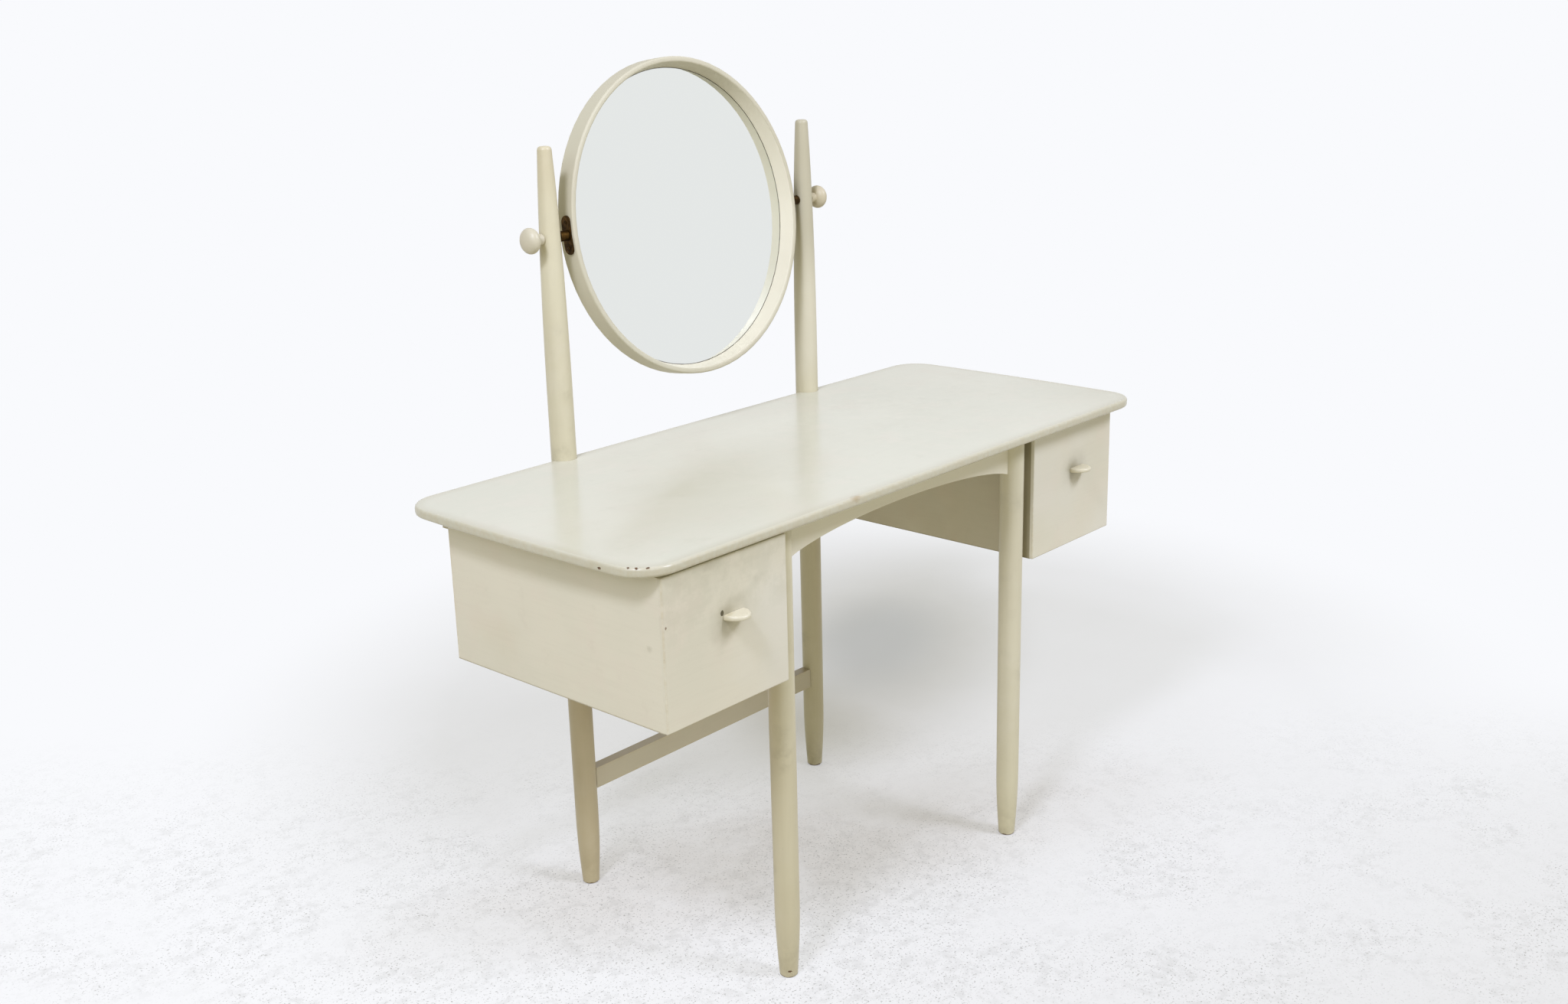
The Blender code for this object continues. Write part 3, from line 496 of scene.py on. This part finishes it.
CORNER_CHIPS = (  # degrees round the corner, size, stretch
    (205, 1.6 * MM, (1, 1.3, 1)), (216, 2.2 * MM, (1, 1.2, 1)), (232, 1.3 * MM, (3.2, 1.5, 0.8)))
END_CHIP = (Vector((-0.5856, -0.1838, 0.7120)), 2.0 * MM, (1, 1.5, 1))
CHIP_RAGGED = 0.9


def top_rim(f):
    return f.fade(f.math("ABSOLUTE", f.axis("Z", f.normal)), 0.97, 0.70)


def top_border(f):
    """1 at the outline of the top, fading inwards."""
    from_middle = f.math("ABSOLUTE", f.math("SUBTRACT", f.axis("Y"), TOP_MIDDLE_Y))
    over_x = f.math("SUBTRACT", f.math("ABSOLUTE", f.axis("X")), TOP_HALF_X - TOP_CORNER)
    over_y = f.math("SUBTRACT", from_middle, TOP_HALF_Y - TOP_CORNER)
    in_corner = [f.math("POWER", f.math("MAXIMUM", over, 0.0), 2.0) for over in (over_x, over_y)]
    along_side = f.math("MINIMUM", f.math("MAXIMUM", over_x, over_y), 0.0)
    reach = f.math("ADD", f.math("SQRT", f.math("ADD", *in_corner)), along_side)
    return f.fade(reach, TOP_CORNER - TOP_BORDER, TOP_CORNER)


def top_chips(f):
    chips = []
    for degrees, size, stretch in CORNER_CHIPS:
        turn = math.radians(degrees)
        place = CORNER + Vector((math.cos(turn), math.sin(turn), 0.0)) * CORNER_ARRIS
        chips.append((place, size, stretch))
    chips.append(END_CHIP)
    return f.either(*[f.spot(*chip, CHIP_RAGGED, i) for i, chip in enumerate(chips)])


def top_soil(f):
    wiped = f.fade(f.noise(9, stretch=(0.3, 1, 1), detail=3, rough=0.5, seed=21), 0.46, 0.72)
    return f.math("MULTIPLY", wiped, 0.22)


# Painted shade along the top's outline, standing in for a rounder edge, and in broad patches over the top.
top_marks = [(top_border, TOP_SHADE_TONE, 0.5)]
for x, y, radius, stretch, seed, strength in TOP_SHADE_PATCHES:
    top_marks.append((glow_mark((x, y, TOP_HEIGHT), radius, stretch, seed, 0.3), TOP_SHADE_TONE, strength))
top_marks.append((glow_mark(*TOP_NOTCH), TOP_NOTCH_TONE, 0.6))
dress("table_top", paint("paint_top", TOP_TONES, "X", 1.0, rubbed=top_rim, chipped=top_chips, soiled=top_soil,
                         marks=top_marks, gloss=TOP_GLOSS, relief=TOP_RELIEF))

# Legs and posts, with heights where their paint or their painted shade changes.
FOOT_CHIP = ((-0.2919, -0.2174, 0.0117), 2.4 * MM, (1.4, 1.4, 0.8), 0.8, 3)
# LOW_SHADE: the legs darken below the drawers, painted shade.
LOW_SHADE = along("Z", 0.52, 0.30)
ABOVE_FOOT = along("Z", 0.0, 0.30)
ABOVE_TOP = along("Z", 0.70, 0.80)
POST_END = along("Z", 0.98, 1.25)


def foot_wear(f):
    wobble = f.wander(f.noise(160, detail=4, seed=6), 7 * MM)
    return f.fade(f.math("ADD", f.axis("Z"), wobble), 3.2 * MM, 1.6 * MM)


def front_foot_wear(f):
    return f.either(foot_wear(f), f.spot(*FOOT_CHIP))


def leg_soil(f):
    return f.either(f.fade(f.axis("Z"), 0.09, 0.0), f.fade(f.noise(11, detail=3, seed=9), 0.56, 0.72))


def beside_knob(f):
    """1 on the part of a post beside its knob."""
    return f.both(f.fade(f.axis("Z"), 0.88, 1.02), f.fade(f.axis("Z"), 1.32, 1.20))


LEG_MARKS = {
    "front_left_leg": [(LOW_SHADE, LEG_LOW_SHADE, 0.12)],
    "front_right_leg": [(ABOVE_FOOT, COOL_TONE_AND_SHEEN, 0.2)],
    "rear_left_post": [(LOW_SHADE, REAR_LEG_LOW_SHADE, 0.34), (ABOVE_TOP, POST_TONE, 0.1),
                       (POST_END, POST_END_TONE, 0.17)],
    # The right post is darker beside its knob.
    "rear_right_post": [(ABOVE_TOP, POST_TONE, 0.65), (beside_knob, GRIME, 0.42)]}
for i, (node, marks) in enumerate(LEG_MARKS.items()):
    wear = front_foot_wear if node == "front_left_leg" else foot_wear
    dress(node, paint("paint_" + node, LEG_TONES, "Z", 10.0 + i, soiled=leg_soil, marks=marks, chipped=wear))


# Aprons, side rails and stretcher.
RAILS = ("front_apron", "rear_apron", "left_side_rail", "right_side_rail", "rear_stretcher")


def upper_face(f):
    return f.fade(f.axis("Z", f.normal), 0.35, 0.75)


for i, node in enumerate(RAILS):
    low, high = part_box(node)
    grain = "Y" if "side" in node else "X"
    tones = APRON_LIT_TONES if node == "front_apron" else RAIL_SHADED_TONES
    # Dust and painted shade on the stretcher's upper face.
    marks = [(upper_face, STRETCHER_DUST_AND_SHADE, 0.55)] if node == "rear_stretcher" else ()
    finish = paint("paint_" + node, tones, grain, 20.0 + i, rubbed=edge_rub(low, high), marks=marks)
    dress(node, finish, 1.0 * MM)

# Drawers, with the plainest marks of the real fronts and of the left one's outer side.
BARE_PARTS = ("back", "bottom", "outer_cleat", "inner_cleat", "outer_hanger", "inner_hanger")
LEFT_SMUDGES = (  # x, z, size in mm, stretch, strength
    (-0.4081, 0.6372, 16, (1.4, 1, 0.7), 0.14), (-0.4605, 0.6945, 20, (1.8, 1, 0.5), 0.30),
    (-0.3705, 0.6527, 13, (1.5, 1, 0.8), 0.16), (-0.4433, 0.5957, 26, (1, 1, 1.3), 0.20))
PULL_SOIL_AND_SHADE = {"left": (0.24, 0.42), "right": (0.34, 0.52)}  # strength of the broad and the close soil, partly painted shadow
INSIDE_SKIN = 1.0 * MM
JOINED = Vector((0.0, 20 * MM, 0.0))  # moves the worn edges of two boards away from their joint


def pull_marks(side):
    """Soil of hands round a pull, partly painted shadow, on the drawer's front."""
    low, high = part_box(f"{side}_drawer_pull")
    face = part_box(f"{side}_drawer_front")[0].y
    middle = Vector(((low.x + high.x) / 2, face, (low.z + high.z) / 2))
    broad, close = PULL_SOIL_AND_SHADE[side]
    return [(glow_mark(middle + Vector((-7 * MM, 0, 0)), 44 * MM, (1.1, 1, 1), 3, 0.25), SOIL_AND_SHADE, broad),
            (glow_mark(middle + Vector((-14 * MM, 0, 2 * MM)), 22 * MM, (1, 1, 1.1), 5, 0.25), SOIL_AND_SHADE, close)]


def upper_mottle(f):
    """Greyer mottled paint, growing towards the top of the left drawer's front."""
    mottle = f.fade(f.noise(38, detail=4, rough=0.65, seed=51), 0.36, 0.62)
    return f.both(mottle, f.fade(f.axis("Z"), 0.585, 0.645))


def left_front_marks():
    """Smudges, a cooler patch of painted reflection, mottled paint, a chip and a hole."""
    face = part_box("left_drawer_front")[0].y
    marks = [(glow_mark((x, face, z), size * MM, stretch, i), GRIME, strength)
             for i, (x, z, size, stretch, strength) in enumerate(LEFT_SMUDGES)]
    # Painted reflection: a cooler, lighter patch on the right part of the front.
    marks.append((glow_mark((-0.335, face, 0.575), 130 * MM, (0.8, 1, 1.2), 9), COOL_TONE_AND_SHEEN, 0.65))
    marks.append((upper_mottle, MOTTLE, 0.15))
    marks.append((spot_mark((-0.5412, face, 0.6344), 1.7 * MM, (1, 1, 1.3), 0.5, 7), WORN_WOOD, 0.8))
    marks.append((spot_mark((-0.4400, face, 0.6249), 3.7 * MM, (0.95, 1, 1.25), 0.15, 8), HOLE, 1.0))
    return marks


def drawer_marks(node, low):
    """Marks of a drawer's front or side, all of which have painted shade along the lower edge, where its
    rounded arris faces down.
    """
    marks = [(along("Z", low.z + 2.2 * MM, low.z + 0.5 * MM), SOIL_AND_SHADE, 0.55)]
    if node == "left_drawer_front":
        marks += left_front_marks()
    elif node == "left_drawer_outer_side":
        marks.append((glow_mark((low.x, -0.2249, 0.6023), 8 * MM, (1, 1, 0.9), 4), GRIME, 0.24))
        marks.append((glow_mark((low.x, 0.0778, 0.5484), 64 * MM, (1, 1.2, 0.8), 6), RUBBED_THIN, 0.08))
    elif node == "right_drawer_front":
        marks.append((patchy(5, 33, 0.25, 0.55), COOL_TONE_AND_SHEEN, 0.5))
    if node.endswith("front"):
        marks += pull_marks(node.split("_")[0])
    elif node.endswith("inner_side"):
        # Painted shade over the inner side under the top, and painted shadow of the front leg near its front
        # end.
        marks.append((patchy(7, 35, 0.15, 0.50), INNER_SIDE_SHADE, 0.19))
        marks.append((along("Y", low.y + 34 * MM, low.y + 12 * MM), SOIL_AND_SHADE, 0.62))
    return marks


def drawer_inside(part, sign, low, high):
    """Unpainted inner face of a drawer's front or side."""
    if part == "front":
        return beyond("Y", high.y - INSIDE_SKIN, 1)
    inwards = -sign if part == "outer_side" else sign
    return beyond("X", (high.x if inwards > 0 else low.x) - inwards * INSIDE_SKIN, inwards)


for side, sign in SIDES.items():
    for i, part in enumerate(("front", "outer_side", "inner_side")):
        node = f"{side}_drawer_{part}"
        low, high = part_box(node)
        grain = "X" if part == "front" else "Y"
        near, far = ((low, high + JOINED) if part == "front" else (low - JOINED, high))
        finish = paint("paint_" + node, DRAWER_TONES, grain, 30.0 + 4 * i + sign,
                       rubbed=edge_rub(near, far, 4 * MM), chipped=edge_chips(near, far, 40.0 + i + sign),
                       marks=drawer_marks(node, low), bare=drawer_inside(part, sign, low, high))
        dress(node, finish, 0.4 * MM if "side" in part else 0.0)
    for i, part in enumerate(("outer_bearer", "inner_bearer")):
        node = f"{side}_drawer_{part}"
        low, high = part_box(node)
        finish = paint("paint_" + node, RAIL_SHADED_TONES, "Y", 50.0 + i + sign, rubbed=edge_rub(low, high))
        dress(node, finish, 0.8 * MM)
    for i, part in enumerate(BARE_PARTS):
        node = f"{side}_drawer_{part}"
        grain = "X" if part in ("back", "bottom") else "Y"
        dress(node, wood("wood_" + node, grain, 60.0 + 3 * i + sign), 0.5 * MM)
    node = f"{side}_drawer_pull"
    low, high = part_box(node)
    root = glow_mark(Vector((low.x + 5 * MM, high.y, high.z)), 24 * MM, (1.3, 1, 1), 2)
    dress(node, paint("paint_" + node, PULL_TONES, "X", 80.0 + sign, marks=[(root, PULL_ROOT_TONE, 0.68)]))

# Knobs, pivots and mirror.
HOOP_BORE, BORE_BLEND = 239.2 * MM, 0.4 * MM
HOOP_GLOSS, HOOP_RELIEF = (0.52, 0.64), 0.25


def hoop_inside_lit(f):
    """Painted light: a lighter tone on the lower and right parts of the hoop's bore, weaker between the two.
    """
    inner = f.fade(f.reach(PIVOT), HOOP_BORE + BORE_BLEND, HOOP_BORE - BORE_BLEND)
    slant = f.math("SUBTRACT", f.axis("Z"), f.math("MULTIPLY", f.axis("X"), 0.6))
    return f.both(inner, f.fade(slant, 1.23, 1.05), f.level(f.fade(slant, 0.80, 0.90), 0.4, 1.0))


for side, sign in SIDES.items():
    marks = [(patchy(30, 37, 0.10, 0.40), RUBBED_THIN, 0.22)] if side == "right" else ()
    dress(f"{side}_clamp_knob", paint(f"paint_{side}_knob", KNOB_TONES, "X", 84.0 + sign, marks=marks))
    brass = tarnished_brass(f"brass_{side}_pivot", 90.0 + sign)
    dress(f"{side}_pivot_plate", brass, 0.5 * MM)
    dress(f"{side}_pivot_stud", brass, 0.4 * MM)
dress("mirror_hoop", paint("paint_hoop", HOOP_TONES, "Z", 95.0, marks=[(hoop_inside_lit, HOOP_INSIDE_LIT, 0.9)],
                           gloss=HOOP_GLOSS, relief=HOOP_RELIEF))
dress("mirror_glass", silvered_glass("silvered_glass"))
dress("mirror_backing", hardboard("hardboard_back"), 0.4 * MM)


# Small fittings, which ride on the bodies they are driven into.
def standing(place, direction, spin=0.0):
    """Frame whose Z is the direction, turned about it by spin."""
    turn = Vector(direction).to_track_quat("Z", "Y").to_matrix().to_4x4()
    return Matrix.Translation(place) @ turn @ Matrix.Rotation(spin, 4, "Z")


def ring_point(radius, turn, height):
    return Vector((radius * math.cos(turn), radius * math.sin(turn), height))


def turned(bm, profile, stand, segments=20):
    """Closed solid turned from (radius, height) points, which start and end on the axis."""
    rings = []
    for radius, height in profile:
        count = segments if radius else 1
        rings.append([bm.verts.new(stand @ ring_point(radius, 2 * math.pi * k / segments, height))
                      for k in range(count)])
    for first, second in zip(rings, rings[1:]):
        for k in range(segments):
            corners = [first[k % len(first)], first[(k + 1) % len(first)],
                       second[(k + 1) % len(second)], second[k % len(second)]]
            bm.faces.new(list(dict.fromkeys(corners)))


def screw_land(bm, radius, slot, low, high, stand, side, steps=12):
    """Half of a slotted screw head: a D with its upper edge rounded off."""
    rings = []
    for shrink, height in ((0.0, low), (0.0, low + (high - low) * 0.55), (0.12, high - (high - low) * 0.12),
                           (0.24, high)):
        outer = radius * (1 - shrink)
        start = math.asin(slot / 2 / outer)
        arc = [start + (math.pi - 2 * start) * k / steps for k in range(steps + 1)]
        rings.append([bm.verts.new(stand @ ring_point(outer * side, turn, height)) for turn in arc])
    for first, second in zip(rings, rings[1:]):
        for k in range(len(first)):
            after = (k + 1) % len(first)
            bm.faces.new((first[k], first[after], second[after], second[k]))
    bm.faces.new(rings[0])
    bm.faces.new(rings[-1])


def slotted_head(bm, radius, rise, stand):
    """Head of a countersunk screw on a surface, with its slot."""
    bottom = rise * 0.3
    turned(bm, [(0, -rise), (radius * 0.9, -rise), (radius, 0), (radius, bottom), (0, bottom)], stand)
    for side in (1, -1):
        screw_land(bm, radius * 0.97, radius * 0.30, bottom * 0.5, rise, stand, side)


def nail_head(bm, radius, rise, stand):
    turned(bm, [(0, -rise), (radius * 0.5, -rise), (radius * 0.9, 0), (radius, rise * 0.4),
                (radius * 0.86, rise * 0.85), (0, rise)], stand)


def mirror_ray(turn, sign=1):
    """Direction from the pivot in the mirror's plane."""
    return Vector((sign * math.cos(turn), 0, 0)) + RISE * math.sin(turn)


STEEL = rusty_steel("fastener_steel")
DOWN = (0, 0, -1)
PLATE_SCREW, BEARER_SCREW, BOTTOM_NAIL = (2.9 * MM, 0.6 * MM), (3.2 * MM, 0.3 * MM), (2.3 * MM, 0.5 * MM)
PLATE_FACE, PLATE_SCREW_TURN = 250.1 * MM, math.radians(4.4)
for side, sign in SIDES.items():
    screws = bmesh.new()
    for turn, spin in ((PLATE_SCREW_TURN, 0.5), (-PLATE_SCREW_TURN, 2.2)):
        outwards = mirror_ray(turn, sign)
        slotted_head(screws, *PLATE_SCREW, standing(PIVOT + outwards * PLATE_FACE, outwards, spin))
    head = tarnished_brass(f"brass_{side}_screws", 120.0 + sign)
    soften(mesh_piece(f"{side}_pivot_screws", screws, head, "mirror"))

BRADS, BRAD_RADIUS, BACKING_FACE, BRAD_START = 12, 0.45 * MM, 18.15 * MM, 239.6 * MM
BRAD_PROFILE = [(0, 0), (BRAD_RADIUS, 0), (BRAD_RADIUS, 6.5 * MM), (BRAD_RADIUS * 0.45, 9 * MM),
                (0, 9.3 * MM)]
BRAD_SEGMENTS = 10
brads = bmesh.new()
for k in range(BRADS):
    outwards = mirror_ray(2 * math.pi * (k + 0.5) / BRADS)
    place = PIVOT - FACING * BACKING_FACE + outwards * BRAD_START
    turned(brads, BRAD_PROFILE, standing(place, -outwards), BRAD_SEGMENTS)
soften(mesh_piece("backing_brads", brads, STEEL, "mirror"))

for side in SIDES:
    body = f"{side}_drawer"
    low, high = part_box(f"{side}_drawer_bottom")
    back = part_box(f"{side}_drawer_back")
    nails = bmesh.new()
    for share in (0.12, 0.5, 0.88):
        place = Vector((low.x + (high.x - low.x) * share, (back[0].y + back[1].y) / 2, low.z))
        nail_head(nails, *BOTTOM_NAIL, standing(place, DOWN))
    soften(mesh_piece(f"{side}_drawer_bottom_nails", nails, STEEL, body))
    for part in ("outer", "inner"):
        low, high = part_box(f"{side}_drawer_{part}_bearer")
        screws = bmesh.new()
        for share, spin in ((0.1, 0.3), (0.5, 1.4), (0.9, 2.5)):
            place = Vector(((low.x + high.x) / 2, low.y + (high.y - low.y) * share, low.z))
            slotted_head(screws, *BEARER_SCREW, standing(place, DOWN, spin))
        soften(mesh_piece(f"{side}_{part}_bearer_screws", screws, STEEL, "frame"))

JOINT_HALF, JOINT_DEPTH, JOINT_SKIN = 0.9 * MM, 1.6 * MM, 0.03 * MM
JOINT_CORNER, JOINT_END = 0.25 * MM, 0.3 * MM


def filler(bm, face, inwards, lap, low, high):
    """Paint-filled joint between a drawer's front and side: a slim strip just below their common face."""
    outline = ((JOINT_SKIN, -JOINT_HALF), (JOINT_SKIN, JOINT_HALF), (JOINT_DEPTH - JOINT_CORNER, JOINT_HALF),
               (JOINT_DEPTH, JOINT_HALF - JOINT_CORNER), (JOINT_DEPTH, -JOINT_HALF + JOINT_CORNER),
               (JOINT_DEPTH - JOINT_CORNER, -JOINT_HALF))
    ends = [[bm.verts.new((face + inwards * x, lap + y, z)) for x, y in outline] for z in (low, high)]
    for k in range(len(outline)):
        after = (k + 1) % len(outline)
        bm.faces.new((ends[0][k], ends[0][after], ends[1][after], ends[1][k]))
    for end in ends:
        bm.faces.new(end)


for side, sign in SIDES.items():
    for part in ("outer", "inner"):
        low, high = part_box(f"{side}_drawer_{part}_side")
        outwards = sign if part == "outer" else -sign
        face = high.x if outwards > 0 else low.x
        strip = bmesh.new()
        filler(strip, face, -outwards, low.y, low.z + JOINT_END, high.z - JOINT_END)
        finish = NODES[f"{side}_drawer_{part}_side"].data.materials[0]
        mesh_piece(f"{side}_drawer_{part}_joint", strip, finish, f"{side}_drawer")

# Stage: pale gritty floor that fades into white for the camera, and the light of a studio.
WHITE = srgb(249, 250, 253)
FLOOR_RADIUS, FLOOR_SEGMENTS = 14.0, 96
FLOOR_TONES = (srgb(248, 248, 248), srgb(243, 243, 242))
FLOOR_BOUNCE = (0.62, 0.58, 0.43, 1.0)
FLOOR_DOTS, FLOOR_GREY = srgb(156, 155, 150), srgb(232, 232, 233)
FLOOR_RIGHT, FLOOR_NEAR = (0.66, -0.75, 0.0), (-0.74, -0.67, 0.0)
SHADE_CENTRE, SHADE_NEAR, SHADE_FAR = (0.62, 0.34, 0.0), 0.40, 1.45
# Oblong places on the floor: middle, turn, and length in widths.
# SHADOW: a painted shadow on the floor behind the table, where less of the white glow is mixed in.
SHADOW, SHADOW_TONE = ((0.84, 0.53, 0.0), math.radians(31), 1.9), srgb(224, 226, 228)
SOILED, SOILED_TONE = ((0.02, 0.01, 0.0), math.radians(-27), 3.4), srgb(213, 209, 204)


def oblong(f, middle, turn, length):
    """Distance from a place on the floor, shortened along one direction."""
    laid = f.add("Mapping", {"Vector": f.place, "Location": middle, "Rotation": (0, 0, turn),
                             "Scale": (length, 1, 1)}, vector_type="TEXTURE")
    return f.vector("LENGTH", laid.outputs[0])["Value"]


def floor_finish():
    """Worn floor with grit, soil and a painted soft shadow. What light it sends on comes from a plain warm
    tone.
    """
    f = Finish("pale_floor", Roughness=0.65)
    wear = f.fade(f.noise(1.7, detail=5, rough=0.6), 0.35, 0.68)
    patches = f.fade(f.noise(5, detail=4, rough=0.6, seed=5), 0.36, 0.60)
    grit = f.fade(f.noise(260, detail=2, rough=0.6, seed=3), 0.60, 0.66)
    crumbs = f.fade(f.noise(120, detail=3, rough=0.7, seed=8), 0.66, 0.71)
    blotch = f.fade(f.noise(45, detail=5, rough=0.7, seed=12), 0.46, 0.66)
    across, towards = [f.vector("DOT_PRODUCT", f.place, way)["Value"] for way in (FLOOR_RIGHT, FLOOR_NEAR)]
    near = f.both(f.fade(towards, -0.7, 0.1),
                  f.fade(f.reach((0, 0, 0)), FLOOR_RADIUS * 0.5, FLOOR_RADIUS * 0.25))
    dots = f.either(f.both(f.either(grit, crumbs), f.level(patches, 0.25, 1.0), near),
                    f.both(blotch, f.level(patches, 0.3, 1.0), near, 0.28))
    shade = f.both(f.fade(across, -0.7, 0.8), near)
    shadow = oblong(f, *SHADOW)
    soiled = f.both(f.fade(oblong(f, *SOILED), 0.27, 0.06), f.level(patches, 0.6, 1.0))
    seen = f.seen()
    colour = f.mix(wear, *FLOOR_TONES)
    colour = f.tint(colour, f.fade(shadow, 0.22, 0.04), 0.85, SHADOW_TONE)
    colour = f.tint(colour, soiled, 0.45, SOILED_TONE)
    colour = f.tint(colour, dots, 0.7, FLOOR_DOTS)
    f.surface(Base_Color=f.mix(seen, FLOOR_BOUNCE, colour), Normal=f.bump((dots, -0.2 * MM)))
    glow = f.tint(WHITE, shade, 0.8, FLOOR_GREY)
    glow = f.tint(glow, soiled, 0.75, SOILED_TONE)
    glow = f.tint(glow, dots, 0.6, FLOOR_DOTS)
    white = f.add("Emission", {"Color": glow, "Strength": 1.0})
    fading = f.either(f.fade(f.reach(SHADE_CENTRE), SHADE_NEAR, SHADE_FAR),
                      f.math("MULTIPLY", f.fade(shadow, 0.15, 0.40), 0.45))
    blend = f.add("MixShader", {0: f.both(seen, fading), 1: f.shader.outputs[0], 2: white.outputs[0]})
    f.put(f.tree.nodes["Material Output"].inputs["Surface"], blend.outputs[0])
    return f.material


def floor():
    bm = bmesh.new()
    bmesh.ops.create_circle(bm, cap_ends=True, segments=FLOOR_SEGMENTS, radius=FLOOR_RADIUS)
    mesh = mesh_of("floor", bm)
    mesh.materials.append(floor_finish())
    obj = placed("floor", mesh)


AMBIENT = (0.38, 0.365, 0.28, 1.0)
AIM = Vector((0.0, 0.0, 0.65))
LAMP_TINT = (0.96, 1.0, 1.20)
LAMPS = (  # name, place, size, power
    ("key_front", Vector((1.0, -2.74, 3.38)), 1.2, 75),
    ("high_left", Vector((-2.80, -0.95, 3.70)), 0.7, 62),
    ("low_left", Vector((-3.2, -0.9, 2.55)), 2.0, 25))


def lamp(name, place, size, power):
    data = bpy.data.lights.new(name, "AREA")
    data.shape, data.size, data.energy, data.color = "DISK", size, power, LAMP_TINT
    obj = placed(name, data)
    obj.location = place
    obj.rotation_euler = (AIM - place).to_track_quat("-Z", "Y").to_euler()


def world():
    """White where it is seen, directly or in a reflection; soft warm fill on everything else."""
    sky = bpy.data.worlds.new("studio")
    sky.use_nodes = True
    n = Nodes(sky.node_tree)
    shown, lit = n.tree.nodes["Background"], n.add("Background", {"Color": AMBIENT})
    n.put(shown.inputs["Color"], WHITE)
    blend = n.add("MixShader", {0: n.seen(), 1: lit.outputs[0], 2: shown.outputs[0]})
    n.put(n.tree.nodes["World Output"].inputs["Surface"], blend.outputs[0])
    bpy.context.scene.world = sky


floor()
world()
for settings in LAMPS:
    lamp(*settings)

# Camera at the photograph's place, from the picture's own perspective.
EYE = Vector((-1.8877, -1.66787, 1.3805))
FORWARD = Vector((0.7114, 0.6412, -0.2877)).normalized()
RIGHT = Vector((0.6638, -0.7475, -0.0245))
LENS, SENSOR = 38.417, 36.0


def photo_camera():
    data = bpy.data.cameras.new("photo_camera")
    data.lens, data.sensor_width, data.sensor_fit = LENS, SENSOR, "HORIZONTAL"
    right = (RIGHT - FORWARD * RIGHT.dot(FORWARD)).normalized()
    up = right.cross(FORWARD)
    turn = Matrix((right, up, -FORWARD)).transposed().to_4x4()
    obj = placed("photo_camera", data)
    obj.matrix_world = Matrix.Translation(EYE) @ turn
    bpy.context.scene.camera = obj


photo_camera()
bpy.context.scene.view_settings.view_transform = "Standard"
